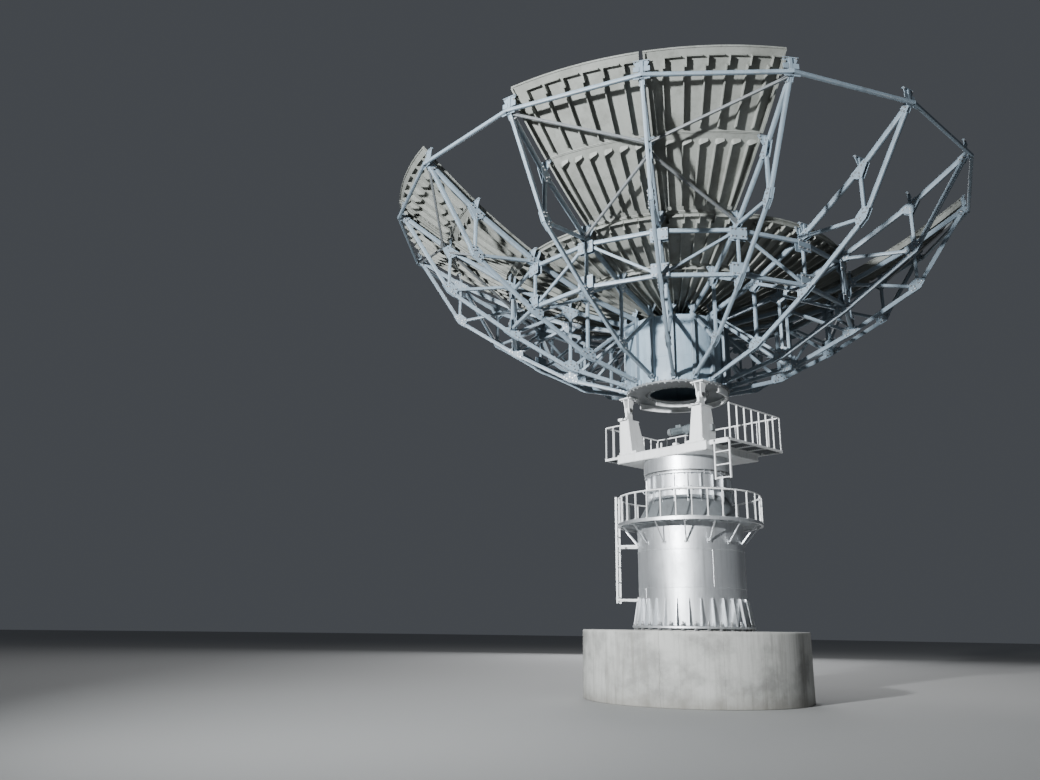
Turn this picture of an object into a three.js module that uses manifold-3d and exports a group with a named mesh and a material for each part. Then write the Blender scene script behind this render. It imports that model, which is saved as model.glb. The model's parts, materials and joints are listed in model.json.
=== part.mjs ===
import * as THREE from "three";
import { mergeVertices } from "three/addons/utils/BufferGeometryUtils.js";
import Module from "manifold-3d";

const wasm = await Module();
wasm.setup();

// A 12 m radio telescope on a round concrete plinth, dish at the zenith.
// Millimetres, +Z up, the origin at the middle of the plinth's underside.
// X runs along the elevation axis. The dish tips towards -Y.

// Clearances
const GAP = 0.3;
const TURN_GAP = 0.75;

// Plinth and pedestal
const PLINTH_R = 2130;
const PLINTH_TOP = 1250;
const ROUND = 60;
const NUT_HEIGHT = 40;
const FLANGE_R = 1165;
const FLANGE_THICK = 40;
const FLANGE_Z = PLINTH_TOP + NUT_HEIGHT;
const TUBE_R = 1030;
const TUBE_TOP = 3340;
const GUSSET_COUNT = 30;
const NUT_COUNT = 15;
const GUSSET_HEIGHT = 500;
const GUSSET_THICK = 16;
const CONE_FOOT_R = 1005;
const CONE_TOP_R = 765;
const CONE_TOP = 3770;

// Lower platform and its railing
const DECK_R = 1415;
const DECK_TOP = 3280;
const DECK_THICK = 40;
const DECK_EDGE = 60;
const KNEE_COUNT = 15;
const KNEE_DROP = 400;
const RAIL_R = 1392;
const RAIL_POSTS = 30;
const RAIL_HEIGHT = 530;
const RAIL_BAR = 30;

// Azimuth bearing
const NECK_HEIGHT = 115;
const HOUSING_R = 800;
const HOUSING_TOP = 4215;
const HOUSING_FLANGE_R = 860;
const HOUSING_FLANGE = 30;
const HOUSING_RIB_COUNT = 20;
const HOUSING_RIB_R = 838;
const BEARING_TOP = 4245;
const TURNTABLE_R = 870;

// Yoke
const YOKE_BASE_Z = 4520;
const YOKE_TOP = 4700;
const YOKE_HALF_X = 1100;
const YOKE_HALF_Y = 870;
const ARM_OUT = 1020;
const ARM_FOOT_WIDTH = 310;
const ARM_HEAD_WIDTH = 220;
const ARM_FOOT_DEPTH = 470;
const ARM_HEAD_DEPTH = 330;
const ARM_TOP = 5420;

// Elevation axis
const AXIS_Y = -710;
const AXIS_Z = 5640;
const PIN_R = 50;
const PIN_SIDES = 24;
const PIN_X = ARM_OUT - ARM_HEAD_WIDTH / 2;
const BLOCK_WIDTH = 60;
const FORK_THICK = 22;
const FORK_CLEAR = 7;

// Upper platform
const WALK_OUT = 1560;
const WALK_FRONT = -740;
const WALK_BACK = 1020;
const WALK_THICK = 50;
const WALK_RAIL_HEIGHT = 680;

// Dish
const DISH_Y = -230;
const RIBS = 16;
const STEP = (2 * Math.PI) / RIBS;
const FIRST_RIB = STEP / 2;
const CHORD_FOCUS = 3800;
const CHORD_Z = 7249;
const TIP_R = 5810;
const MID_R = 4760;
const RING_R = 3450;
const INNER_R = 2240;
const HUB_R = 1000;
const ROOT_R = HUB_R + 30 + GAP;
const RIB_THICK = 60;
const TOP_CHORD = 90;
const BOTTOM_CHORD = 80;
const WEB = 60;
const RING_BAR = 70;
const RING_DIAGONAL = 50;
const RING_SEAT_TOP = 63.7;
const RING_SEAT_LOW = 71.1;
const BRACE = 45;
const BRACE_DROP = 45;
const BRACE_SPREAD = 150;
const BRACE_INSET = 50;
const RIM_BAR = 60;
const RIM_DROP = 45;
const KINK_Z = 7860;
const RING_LOW_Z = 7000;
const INNER_LOW_Z = 6340;
const ROOT_LOW_Z = 6015;
const HUB_RING_Z = 5900;
const HUB_RING_R = 1040;
const HUB_HOLE_R = 560;
const HUB_TOP = 7300;
const HUB_WALL = 40;
const SKIRT_DROP = 130;

// Panels, held on saddles above the ribs. The outer rows are fitted in pairs of bays that share a
// rib: each number is the first bay of a pair, counted from the rib next to +X.
const SURFACE_FOCUS = 3680;
const PANEL_LIFT = 193;
const PANEL_THICK = 40;
const PANEL_GAP = 5;
const EDGE_R = 5850;
const COVER_R = 490;
const PAIRS = [1, 4, 9, 12];
const SHARED_INSET = 30;
const FREE_INSET = 80;
const SADDLE_OUT = 130;
const SADDLE_LONG = 50;
const SADDLE_THICK = 25;

// Colours
const finish = (color, roughness, metalness = 0) => new THREE.MeshStandardMaterial({ color, roughness, metalness });
const concrete = finish(0xb9b7b0, 0.95);
const whitePaint = finish(0xe4e6e6, 0.55);
const greyPaint = finish(0x9aa3a8, 0.55);
const trussPaint = finish(0xa9b8c4, 0.5);
const hubPaint = finish(0xb4c3cf, 0.5);
const panelPaint = finish(0xd6d3cb, 0.6);
const steel = finish(0x7d8286, 0.4, 0.8);

const deg = (angle) => (angle * Math.PI) / 180;
const onCircle = (radius, angle, z = 0) => new THREE.Vector3(radius * Math.cos(angle), radius * Math.sin(angle), z);

// Solids: every shape below is closed, and these join and cut them.
function solid(geometry) {
  const bare = new THREE.BufferGeometry();
  bare.setAttribute("position", geometry.getAttribute("position").clone());
  if (geometry.index) bare.setIndex(geometry.index.clone());
  const merged = mergeVertices(bare, 1e-3);
  const vertProperties = new Float32Array(merged.getAttribute("position").array);
  const corners = merged.index.array;
  const kept = [];
  for (let i = 0; i < corners.length; i += 3) {
    const [a, b, c] = [corners[i], corners[i + 1], corners[i + 2]];
    if (a !== b && b !== c && c !== a) kept.push(a, b, c);
  }
  return new wasm.Manifold(new wasm.Mesh({ numProp: 3, vertProperties, triVerts: new Uint32Array(kept) }));
}

function shapeOf(body) {
  const mesh = body.getMesh();
  const geometry = new THREE.BufferGeometry();
  geometry.setAttribute("position", new THREE.BufferAttribute(new Float32Array(mesh.vertProperties), 3));
  geometry.setIndex(new THREE.BufferAttribute(new Uint32Array(mesh.triVerts), 1));
  geometry.computeVertexNormals();
  return geometry;
}

const joined = (bodies) => bodies.reduce((whole, body) => whole.add(body));

function piece(name, body, material) {
  const mesh = new THREE.Mesh(shapeOf(body), material);
  mesh.name = name;
  return mesh;
}

function box(x0, x1, y0, y1, z0, z1) {
  const geometry = new THREE.BoxGeometry(x1 - x0, y1 - y0, z1 - z0);
  geometry.translate((x0 + x1) / 2, (y0 + y1) / 2, (z0 + z1) / 2);
  return solid(geometry);
}

// A straight square-edged bar. Its height lies in the vertical plane through its run.
function bar(from, to, width, height, past = 0) {
  const along = to.clone().sub(from);
  const length = along.length() + 2 * past;
  along.normalize();
  const up = Math.abs(along.z) > 0.999 ? new THREE.Vector3(1, 0, 0) : new THREE.Vector3(0, 0, 1);
  const side = up.clone().cross(along).normalize();
  const top = along.clone().cross(side);
  const geometry = new THREE.BoxGeometry(length, width, height);
  const turn = new THREE.Matrix4().makeBasis(along, side, top);
  turn.setPosition(from.clone().add(to).multiplyScalar(0.5));
  geometry.applyMatrix4(turn);
  return solid(geometry);
}

// A profile of [radius, height] points, anticlockwise, turned about the Z axis.
// Corners of the many-sided ring fall at start + n * 360 / sides.
function turned(profile, sides = ROUND, start = 0) {
  const points = profile.map(([radius, z]) => new THREE.Vector2(radius, z));
  const onAxis = profile[0][0] === 0 && profile.at(-1)[0] === 0;
  if (!onAxis) points.push(points[0].clone());
  const geometry = new THREE.LatheGeometry(points, sides, start + Math.PI / 2, 2 * Math.PI);
  geometry.rotateX(Math.PI / 2);
  return solid(geometry);
}

// A flat outline in the plane of radius and height, thick across it, about the angle 0.
function plate(outline, thick) {
  const shape = new THREE.Shape(outline.map(([x, z]) => new THREE.Vector2(x, z)));
  const geometry = new THREE.ExtrudeGeometry(shape, { depth: thick, bevelEnabled: false });
  geometry.translate(0, 0, -thick / 2);
  geometry.rotateX(Math.PI / 2);
  return solid(geometry);
}

// A flat outline in plan, from z0 up to z1.
function slab(outline, z0, z1) {
  const shape = new THREE.Shape(outline.map(([x, y]) => new THREE.Vector2(x, y)));
  const geometry = new THREE.ExtrudeGeometry(shape, { depth: z1 - z0, bevelEnabled: false });
  geometry.translate(0, 0, z0);
  return solid(geometry);
}

function post(radius, sides, x, y, z0, z1) {
  const geometry = new THREE.CylinderGeometry(radius, radius, z1 - z0, sides);
  geometry.rotateX(Math.PI / 2);
  geometry.translate(x, y, (z0 + z1) / 2);
  return solid(geometry);
}

const spun = (body, angle) => body.rotate([0, 0, (angle * 180) / Math.PI]);
const around = (count, start, make) => Array.from({ length: count }, (_, i) => spun(make(i), start + (i * 2 * Math.PI) / count));

// Plinth
function plinth() {
  return turned([[0, 0], [PLINTH_R, 0], [PLINTH_R, PLINTH_TOP], [0, PLINTH_TOP]], 72);
}

// Foot flange: a ring round the tube, its gussets, and the levelling nuts below it.
const FACET = Math.cos(Math.PI / ROUND);
const FACET_R = TUBE_R * FACET + 2 * GAP;

function baseFlange() {
  const inner = TUBE_R + 2 * GAP;
  const top = FLANGE_Z + FLANGE_THICK;
  const ring = turned([[inner, FLANGE_Z], [FLANGE_R, FLANGE_Z], [FLANGE_R, top], [inner, top]]);
  const outline = [
    [FACET_R, top - 10],
    [FLANGE_R - 25, top - 10],
    [FLANGE_R - 25, top + 30],
    [FACET_R + 30, top + GUSSET_HEIGHT],
    [FACET_R, top + GUSSET_HEIGHT],
  ];
  const gussets = around(GUSSET_COUNT, deg(3), () => plate(outline, GUSSET_THICK));
  const nutR = (FLANGE_R + TUBE_R) / 2 + 8;
  const nuts = around(NUT_COUNT, deg(9), () => post(34, 6, nutR, 0, PLINTH_TOP + GAP, FLANGE_Z + 10));
  return joined([ring, ...gussets, ...nuts]);
}

function pedestalTube() {
  return turned([[0, FLANGE_Z], [TUBE_R, FLANGE_Z], [TUBE_R, TUBE_TOP], [0, TUBE_TOP]]);
}

function pedestalCone() {
  const foot = TUBE_TOP + GAP;
  return turned([[0, foot], [CONE_FOOT_R, foot], [CONE_TOP_R, CONE_TOP], [0, CONE_TOP]]);
}

// Lower platform: a ring deck with an edge band, on knee braces.
function lowerPlatform() {
  const inner = TUBE_R + 2 * GAP;
  const deck = turned([
    [inner, DECK_TOP - DECK_THICK],
    [DECK_R - 12, DECK_TOP - DECK_THICK],
    [DECK_R - 12, DECK_TOP - DECK_EDGE],
    [DECK_R, DECK_TOP - DECK_EDGE],
    [DECK_R, DECK_TOP],
    [inner, DECK_TOP],
  ]);
  const knee = [
    [FACET_R, DECK_TOP - KNEE_DROP - 60],
    [DECK_R - 60, DECK_TOP - DECK_THICK - 20],
    [DECK_R - 60, DECK_TOP - 10],
    [DECK_R - 130, DECK_TOP - 10],
    [FACET_R, DECK_TOP - KNEE_DROP + 10],
  ];
  return joined([deck, ...around(KNEE_COUNT, deg(15), () => plate(knee, RAIL_BAR))]);
}

// Railing posts under one handrail, open where the ladder comes up.
const LADDER_ANGLE = deg(213);
const GATE_WIDTH = 450;

function lowerRailing() {
  const foot = DECK_TOP + GAP;
  const top = foot + RAIL_HEIGHT;
  const half = RAIL_BAR / 2;
  const start = deg(9);
  const rail = turned([
    [RAIL_R - half, top - RAIL_BAR],
    [RAIL_R + half, top - RAIL_BAR],
    [RAIL_R + half, top],
    [RAIL_R - half, top],
  ], RAIL_POSTS, start);
  const inset = half - 2;
  const upright = () => box(RAIL_R - inset - 4, RAIL_R + inset - 4, -inset, inset, foot, top - half);
  const whole = joined([rail, ...around(RAIL_POSTS, start, upright)]);
  const gate = box(0, 2 * RAIL_R, -GATE_WIDTH / 2, GATE_WIDTH / 2, foot - 10, top + 10);
  return whole.subtract(spun(gate, LADDER_ANGLE));
}

// Ladders
const STILE_DEEP = 40;
const STILE_WIDE = 30;
const RUNG = 24;
const LADDER_WIDTH = 400;
const LADDER_FOOT = 1750;
const LADDER_TOP = 3830;
const LADDER_FIRST = 110;
const LADDER_PITCH = 300;
const LADDER_RUNGS = 7;
const HANGING_WIDTH = 330;
const HANGING_FOOT = 3945;
const HANGING_FIRST = 25;
const HANGING_PITCH = 245;
const HANGING_RUNGS = 3;
const HANGING_X = YOKE_HALF_X + 280;

// A straight ladder in the plane x = 0, its rungs along Y.
function ladder(width, bottom, top, first, rungPitch, rungs) {
  const half = width / 2;
  const x = STILE_DEEP / 2;
  const y = STILE_WIDE / 2;
  const bodies = [-1, 1].map((side) => box(-x, x, side * half - y, side * half + y, bottom, top));
  for (let i = 0; i < rungs; i += 1) {
    const z = bottom + first + i * rungPitch;
    bodies.push(bar(new THREE.Vector3(0, -half, z), new THREE.Vector3(0, half, z), RUNG, RUNG));
  }
  return joined(bodies);
}

// The pedestal's ladder hangs from the platform's edge and stands off the tube on two feet.
function pedestalLadder() {
  const out = DECK_R + STILE_DEEP / 2 + GAP;
  const straight = ladder(LADDER_WIDTH, LADDER_FOOT, LADDER_TOP, LADDER_FIRST, LADDER_PITCH, LADDER_RUNGS);
  const body = straight.translate([out, 0, 0]);
  const facet = deg(12);
  const inner = 170;
  const reach = (TUBE_R * FACET - inner * Math.sin(facet)) / Math.cos(facet) + GAP;
  const feet = [-1, 1].map((side) => box(reach, out, side * 185 - 15, side * 185 + 15, LADDER_FOOT + 40, LADDER_FOOT + 80));
  return joined([body, ...feet]);
}

// Bearing housing: a flanged drum on a neck, with ribs that reach down to the cone.
function bearingHousing() {
  const foot = CONE_TOP + GAP;
  const waist = foot + NECK_HEIGHT;
  const drum = turned([
    [0, foot],
    [CONE_TOP_R, foot],
    [CONE_TOP_R, waist],
    [HOUSING_FLANGE_R, waist],
    [HOUSING_FLANGE_R, waist + HOUSING_FLANGE],
    [HOUSING_R, waist + HOUSING_FLANGE],
    [HOUSING_R, HOUSING_TOP - HOUSING_FLANGE],
    [HOUSING_FLANGE_R, HOUSING_TOP - HOUSING_FLANGE],
    [HOUSING_FLANGE_R, HOUSING_TOP],
    [0, HOUSING_TOP],
  ], 2 * HOUSING_RIB_COUNT, deg(4.5));
  const slope = (CONE_TOP - TUBE_TOP - GAP) / (CONE_FOOT_R - CONE_TOP_R);
  const onCone = (radius) => CONE_TOP + 2 * GAP - (radius - CONE_TOP_R) * slope;
  const neck = CONE_TOP_R + 2;
  const outline = [
    [CONE_TOP_R - 20, foot + 4],
    [neck, foot + 4],
    [neck, onCone(neck)],
    [HOUSING_RIB_R, onCone(HOUSING_RIB_R)],
    [HOUSING_RIB_R, HOUSING_TOP - 10],
    [CONE_TOP_R - 20, HOUSING_TOP - 10],
  ];
  const ribs = around(HOUSING_RIB_COUNT, 0, () => plate(outline, 14));
  return joined([drum, ...ribs]);
}

function azimuthBearing() {
  const foot = HOUSING_TOP + GAP;
  const top = BEARING_TOP - GAP;
  return turned([[640, foot], [HOUSING_R + 25, foot], [HOUSING_R + 25, top], [640, top]], 2 * HOUSING_RIB_COUNT);
}

// Turntable and yoke
function turntable() {
  return turned([[0, BEARING_TOP], [TURNTABLE_R, BEARING_TOP], [TURNTABLE_R, YOKE_BASE_Z - GAP], [0, YOKE_BASE_Z - GAP]]);
}

function yokeBase() {
  return box(-YOKE_HALF_X, YOKE_HALF_X, -YOKE_HALF_Y, YOKE_HALF_Y, YOKE_BASE_Z, YOKE_TOP);
}

// One arm, at +X: upright outside and in front, narrowing inwards and from behind.
function yokeArm() {
  const foot = YOKE_TOP + GAP;
  const front = -YOKE_HALF_Y;
  const face = (z, width, depth) => [
    [ARM_OUT, front, z],
    [ARM_OUT, front + depth, z],
    [ARM_OUT - width, front + depth, z],
    [ARM_OUT - width, front, z],
  ];
  const corners = [...face(foot, ARM_FOOT_WIDTH, ARM_FOOT_DEPTH), ...face(ARM_TOP, ARM_HEAD_WIDTH, ARM_HEAD_DEPTH)];
  const geometry = new THREE.BufferGeometry();
  geometry.setAttribute("position", new THREE.Float32BufferAttribute(corners.flat(), 3));
  const faces = [[0, 3, 2], [0, 2, 1], [4, 5, 6], [4, 6, 7]];
  for (let i = 0; i < 4; i += 1) {
    const next = (i + 1) % 4;
    faces.push([i, next, next + 4], [i, next + 4, i + 4]);
  }
  geometry.setIndex(faces.flat());
  return solid(geometry);
}

// A cylinder along X.
function roller(radius, sides, x0, x1, y, z) {
  const geometry = new THREE.CylinderGeometry(radius, radius, x1 - x0, sides);
  geometry.rotateZ(Math.PI / 2);
  geometry.translate((x0 + x1) / 2, y, z);
  return solid(geometry);
}

// Pillow block on the arm's head, bored for the pin.
function bearingBlock() {
  const half = BLOCK_WIDTH / 2;
  const foot = ARM_TOP + GAP;
  const base = box(PIN_X - half, PIN_X + half, AXIS_Y - 150, AXIS_Y + 150, foot, foot + 40);
  const cheek = box(PIN_X - half, PIN_X + half, AXIS_Y - 100, AXIS_Y + 100, foot + 20, AXIS_Z);
  const head = roller(100, PIN_SIDES, PIN_X - half, PIN_X + half, AXIS_Y, AXIS_Z);
  const bore = roller(PIN_R + TURN_GAP, PIN_SIDES, PIN_X - half - 5, PIN_X + half + 5, AXIS_Y, AXIS_Z);
  return joined([base, cheek, head]).subtract(bore);
}

// Fork under the hub ring: a top plate, two legs outside the block, and the pin they hold.
function trunnionFork() {
  const top = HUB_RING_Z - GAP;
  const near = BLOCK_WIDTH / 2 + FORK_CLEAR;
  const far = near + FORK_THICK;
  const head = box(PIN_X - 160, PIN_X + 160, AXIS_Y - 160, AXIS_Y + 160, top - 40, top);
  const bodies = [head];
  for (const side of [-1, 1]) {
    const x0 = PIN_X + (side > 0 ? near : -far);
    const outline = [[-60, -50], [60, -50], [75, 0], [140, top - 20 - AXIS_Z], [-140, top - 20 - AXIS_Z], [-75, 0]];
    const leg = plate(outline, FORK_THICK).rotate([0, 0, 90]).translate([x0 + FORK_THICK / 2, AXIS_Y, AXIS_Z]);
    bodies.push(leg);
  }
  bodies.push(roller(PIN_R, PIN_SIDES, PIN_X - far - 12, PIN_X + far + 12, AXIS_Y, AXIS_Z));
  return joined(bodies);
}

// Elevation drive: a gearbox on the right arm's inner side, with its motor.
const DRIVE_Y = -640;
const DRIVE_Z = 5030;

function armInnerX(z) {
  const up = (z - YOKE_TOP - GAP) / (ARM_TOP - YOKE_TOP - GAP);
  return ARM_OUT - ARM_FOOT_WIDTH + up * (ARM_FOOT_WIDTH - ARM_HEAD_WIDTH);
}

function elevationGearbox() {
  const face = armInnerX(DRIVE_Z - 110) - 1;
  const flange = roller(110, 24, face - 30, face, DRIVE_Y, DRIVE_Z);
  const drum = roller(88, 24, face - 260, face - 20, DRIVE_Y, DRIVE_Z);
  return flange.add(drum);
}

function elevationMotor() {
  const start = armInnerX(DRIVE_Z - 110) - 261 - GAP;
  const drum = roller(70, 24, start - 330, start, DRIVE_Y, DRIVE_Z);
  const cap = roller(80, 24, start - 410, start - 320, DRIVE_Y, DRIVE_Z);
  return drum.add(cap);
}

// Upper platform: a deck on three sides of the yoke, with edge beams.
function upperPlatform() {
  const x = YOKE_HALF_X + GAP;
  const y = YOKE_HALF_Y + GAP;
  const outline = [
    [x, WALK_FRONT],
    [WALK_OUT, WALK_FRONT],
    [WALK_OUT, WALK_BACK],
    [-WALK_OUT, WALK_BACK],
    [-WALK_OUT, WALK_FRONT],
    [-x, WALK_FRONT],
    [-x, y],
    [x, y],
  ];
  return slab(outline, YOKE_TOP - WALK_THICK, YOKE_TOP);
}

// Railing along a run of corners, with posts about every 250 mm.
function railing(corners, foot, height) {
  const top = foot + height;
  const bodies = [];
  corners.slice(1).forEach((to, i) => {
    const from = corners[i];
    const run = Math.hypot(to[0] - from[0], to[1] - from[1]);
    const count = Math.round(run / 250);
    for (let j = i === 0 ? 0 : 1; j <= count; j += 1) {
      const x = from[0] + ((to[0] - from[0]) * j) / count;
      const y = from[1] + ((to[1] - from[1]) * j) / count;
      bodies.push(box(x - 14, x + 14, y - 14, y + 14, foot, top));
    }
    const rail = (p) => new THREE.Vector3(p[0], p[1], top - RAIL_BAR / 2);
    bodies.push(bar(rail(from), rail(to), RAIL_BAR, RAIL_BAR, RAIL_BAR / 2));
  });
  return joined(bodies);
}

function upperRailing() {
  const edge = WALK_OUT - 20;
  const corners = [
    [-YOKE_HALF_X - 40, WALK_FRONT + 20],
    [-edge, WALK_FRONT + 20],
    [-edge, WALK_BACK - 20],
    [edge, WALK_BACK - 20],
    [edge, WALK_FRONT + 20],
  ];
  return railing(corners, YOKE_TOP + GAP, WALK_RAIL_HEIGHT);
}

// Short ladder that hangs from the upper platform's front edge, at the right.
function hangingLadder() {
  const body = ladder(HANGING_WIDTH, HANGING_FOOT, YOKE_TOP, HANGING_FIRST, HANGING_PITCH, HANGING_RUNGS);
  return body.rotate([0, 0, 90]).translate([HANGING_X, WALK_FRONT - STILE_DEEP / 2 - GAP, 0]);
}

// Dish
const chordZ = (radius) => CHORD_Z + radius ** 2 / (4 * CHORD_FOCUS);
const panelZ = (radius) => CHORD_Z + PANEL_LIFT + radius ** 2 / (4 * SURFACE_FOCUS);
const inRib = ([radius, z]) => new THREE.Vector3(radius, 0, z);

// Radii at which each row of panels changes its slope
const LOWER_ROW = [COVER_R + PANEL_GAP, 1400, INNER_R - PANEL_GAP];
const UPPER_ROW = [INNER_R, 2850, RING_R - PANEL_GAP];
const OUTER_ROWS = [RING_R + PANEL_GAP, 4100, MID_R, 5300, EDGE_R];

// Height of the panels' underside over a rib
function underPanel(radius) {
  const row = [LOWER_ROW, UPPER_ROW, OUTER_ROWS].find((radii) => radius < radii.at(-1));
  const next = row.findIndex((r) => r > radius);
  const [r0, r1] = [row[next - 1], row[next]];
  return THREE.MathUtils.mapLinear(radius, r0, r1, panelZ(r0), panelZ(r1));
}

const TOP_NODES = [ROOT_R, INNER_R, RING_R, MID_R, TIP_R - TOP_CHORD / 2].map((r) => [r, chordZ(r)]);
const LOW_NODES = [
  [ROOT_R, ROOT_LOW_Z],
  [INNER_R, INNER_LOW_Z],
  [RING_R, RING_LOW_Z],
  [MID_R, KINK_Z],
  TOP_NODES.at(-1),
];

// A bent flat chord through its nodes, mitred at each of them.
function chord(nodes, height) {
  const points = nodes.map(([r, z]) => new THREE.Vector2(r, z));
  const runs = points.slice(1).map((to, i) => to.clone().sub(points[i]).normalize());
  const offset = (i) => {
    const before = runs[Math.max(i - 1, 0)];
    const after = runs[Math.min(i, runs.length - 1)];
    const middle = before.clone().add(after).normalize();
    const reach = height / 2 / middle.dot(after);
    return new THREE.Vector2(-middle.y, middle.x).multiplyScalar(reach);
  };
  const left = points.map((p, i) => p.clone().add(offset(i)));
  const right = points.map((p, i) => p.clone().sub(offset(i)));
  return plate([...right, ...left.reverse()].map((p) => [p.x, p.y]), RIB_THICK);
}

// A cross plate on a post. It meets the underside of the panels that begin at the given distance
// from the rib's middle plane, on flats that rise by a quarter of a bay's angle away from it.
function saddle(radius, inset) {
  const near = radius - SADDLE_LONG / 2;
  const top = underPanel(near + inset * Math.tan(STEP / 4)) - GAP;
  const half = RIB_THICK / 2;
  const post = box(near, near + SADDLE_LONG, -half, half, chordZ(radius), top - 5);
  return post.add(box(near, near + SADDLE_LONG, -SADDLE_OUT, SADDLE_OUT, top - SADDLE_THICK, top));
}

// One rib: both chords, webs, the end post on the hub and the seats for the panels.
function ribFrame() {
  const [root, inner, ring, mid] = TOP_NODES;
  const [rootLow, innerLow, ringLow, kink] = LOW_NODES;
  const webs = [[inner, innerLow], [mid, kink], [innerLow, root], [ringLow, inner], [kink, ring]];
  const web = ([a, b]) => bar(inRib(a), inRib(b), RIB_THICK, WEB);
  const half = RIB_THICK / 2;
  const endPost = box(HUB_R + GAP, HUB_R + 70, -half, half, ROOT_LOW_Z - 60, root[1] + 50);
  const tipPost = box(TIP_R - 60, TIP_R, -half, half, chordZ(TIP_R) - 110, chordZ(TIP_R) + 10);
  const seats = [ROOT_R + 40, INNER_R, RING_R - 40].map((r) => saddle(r, 0));
  const outerSeats = [RING_R + 60, MID_R, TIP_R - 40].map((r) => saddle(r, SHARED_INSET));
  const frame = joined([chord(TOP_NODES, TOP_CHORD), chord(LOW_NODES, BOTTOM_CHORD), ...webs.map(web)]);
  const inside = box(HUB_R + GAP, TIP_R, -half, half, ROOT_LOW_Z - 60, chordZ(TIP_R) + 200);
  return frame.intersect(inside).add(joined([endPost, tipPost, ...seats, ...outerSeats]));
}

// The space of one bay, from the middle of its rib to the side of the next.
function baySpace() {
  const across = RIB_THICK / 2 + GAP;
  const far = 7000;
  const next = (s) => [s * Math.cos(STEP) + across * Math.sin(STEP), s * Math.sin(STEP) - across * Math.cos(STEP)];
  return slab([[across / Math.sin(STEP), 0], [far, 0], next(far)], 5000, 11000);
}

// Braces that cross one bay under outer panels: from the middle of the rib that the pair of bays
// shares to the tip and the ring end of its other rib.
function bayBraces(index) {
  const ends = (r, z) => [onCircle(r, 0, z), onCircle(r, STEP, z)];
  const outer = PAIRS.includes(index) ? 0 : 1;
  const onChord = (r) => ends(r, chordZ(r) - BRACE_DROP);
  const tip = onChord(TIP_R - BRACE_INSET)[outer];
  const low = ends(RING_R + RING_BAR, chordZ(RING_R) + 10)[outer];
  const upper = bar(onChord(MID_R + BRACE_SPREAD)[1 - outer], tip, BRACE, BRACE, RIB_THICK);
  const lower = bar(onChord(MID_R)[1 - outer], low, BRACE, BRACE, RIB_THICK);
  return upper.add(lower).intersect(baySpace());
}

// Ring truss between the ribs' two chords: two beams, a post at each rib and zigzag diagonals.
function ringTruss() {
  const half = RING_BAR / 2;
  const top = chordZ(RING_R) - RING_SEAT_TOP;
  const foot = RING_LOW_Z + RING_SEAT_LOW;
  const beam = (z0) => turned([
    [RING_R - half, z0],
    [RING_R + half, z0],
    [RING_R + half, z0 + RING_BAR],
    [RING_R - half, z0 + RING_BAR],
  ], RIBS, FIRST_RIB);
  const inset = half - 8;
  const upright = () => box(RING_R - inset, RING_R + inset, -inset, inset, foot + half, top - half);
  const bodies = [beam(top - RING_BAR), beam(foot), ...around(RIBS, FIRST_RIB, upright)];
  for (let i = 0; i < RIBS; i += 1) {
    const [from, to] = i % 2 ? [foot + half, top - half] : [top - half, foot + half];
    const angle = FIRST_RIB + i * STEP;
    bodies.push(bar(onCircle(RING_R, angle, from), onCircle(RING_R, angle + STEP, to), RING_DIAGONAL, RING_DIAGONAL));
  }
  return joined(bodies);
}

function hubDrum() {
  const corner = 1 / Math.cos(STEP / 4);
  const foot = HUB_RING_Z + 40 + GAP;
  const inside = HUB_R - HUB_WALL;
  return turned([
    [0, HUB_TOP - HUB_WALL],
    [inside, HUB_TOP - HUB_WALL],
    [inside, foot],
    [HUB_R * corner, foot],
    [HUB_R * corner, HUB_TOP],
    [COVER_R, HUB_TOP],
    [COVER_R, panelZ(0) - GAP],
    [COVER_R - 40, panelZ(0) - GAP],
    [COVER_R - 40, HUB_TOP],
    [0, HUB_TOP],
  ], 2 * RIBS, STEP / 4);
}

// Ring flange under the hub, with a skirt on its rear half.
function hubRing() {
  const top = HUB_RING_Z + 40;
  const ring = turned([[HUB_HOLE_R, HUB_RING_Z], [HUB_RING_R, HUB_RING_Z], [HUB_RING_R, top], [HUB_HOLE_R, top]], 2 * RIBS);
  const skirt = turned([
    [HUB_R - HUB_WALL, HUB_RING_Z - SKIRT_DROP],
    [HUB_R, HUB_RING_Z - SKIRT_DROP],
    [HUB_R, HUB_RING_Z + 10],
    [HUB_R - HUB_WALL, HUB_RING_Z + 10],
  ], 2 * RIBS);
  const rear = box(-HUB_RING_R, HUB_RING_R, 0, HUB_RING_R, HUB_RING_Z - 300, HUB_RING_Z + 20);
  return ring.add(skirt.intersect(rear));
}

function vertexCover() {
  const foot = panelZ(0);
  return turned([[0, foot], [COVER_R, foot], [COVER_R, foot + PANEL_THICK], [0, foot + PANEL_THICK]], 2 * RIBS, FIRST_RIB);
}

// Reflector surface between two radii, following the paraboloid, all the way round.
function panelRing(radii) {
  const under = radii.map((r) => [r, panelZ(r)]);
  const over = radii.map((r) => [r, panelZ(r) + PANEL_THICK]).reverse();
  return turned([...under, ...over], 2 * RIBS, FIRST_RIB);
}

// Both rows of panels in one outer bay, close to the shared rib and set in from the other.
function outerBay(index) {
  const first = PAIRS.includes(index);
  const from = FIRST_RIB + index * STEP;
  const near = first ? FREE_INSET : SHARED_INSET;
  const far = first ? SHARED_INSET : FREE_INSET;
  const beside = (angle, offset, reach) => [
    reach * Math.cos(angle) - offset * Math.sin(angle),
    reach * Math.sin(angle) + offset * Math.cos(angle),
  ];
  const space = [beside(from, near, HUB_R), beside(from, near, 7000), beside(from + STEP, -far, 7000), beside(from + STEP, -far, HUB_R)];
  return panelRing(OUTER_ROWS).intersect(slab(space, 5000, 11000));
}

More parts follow.
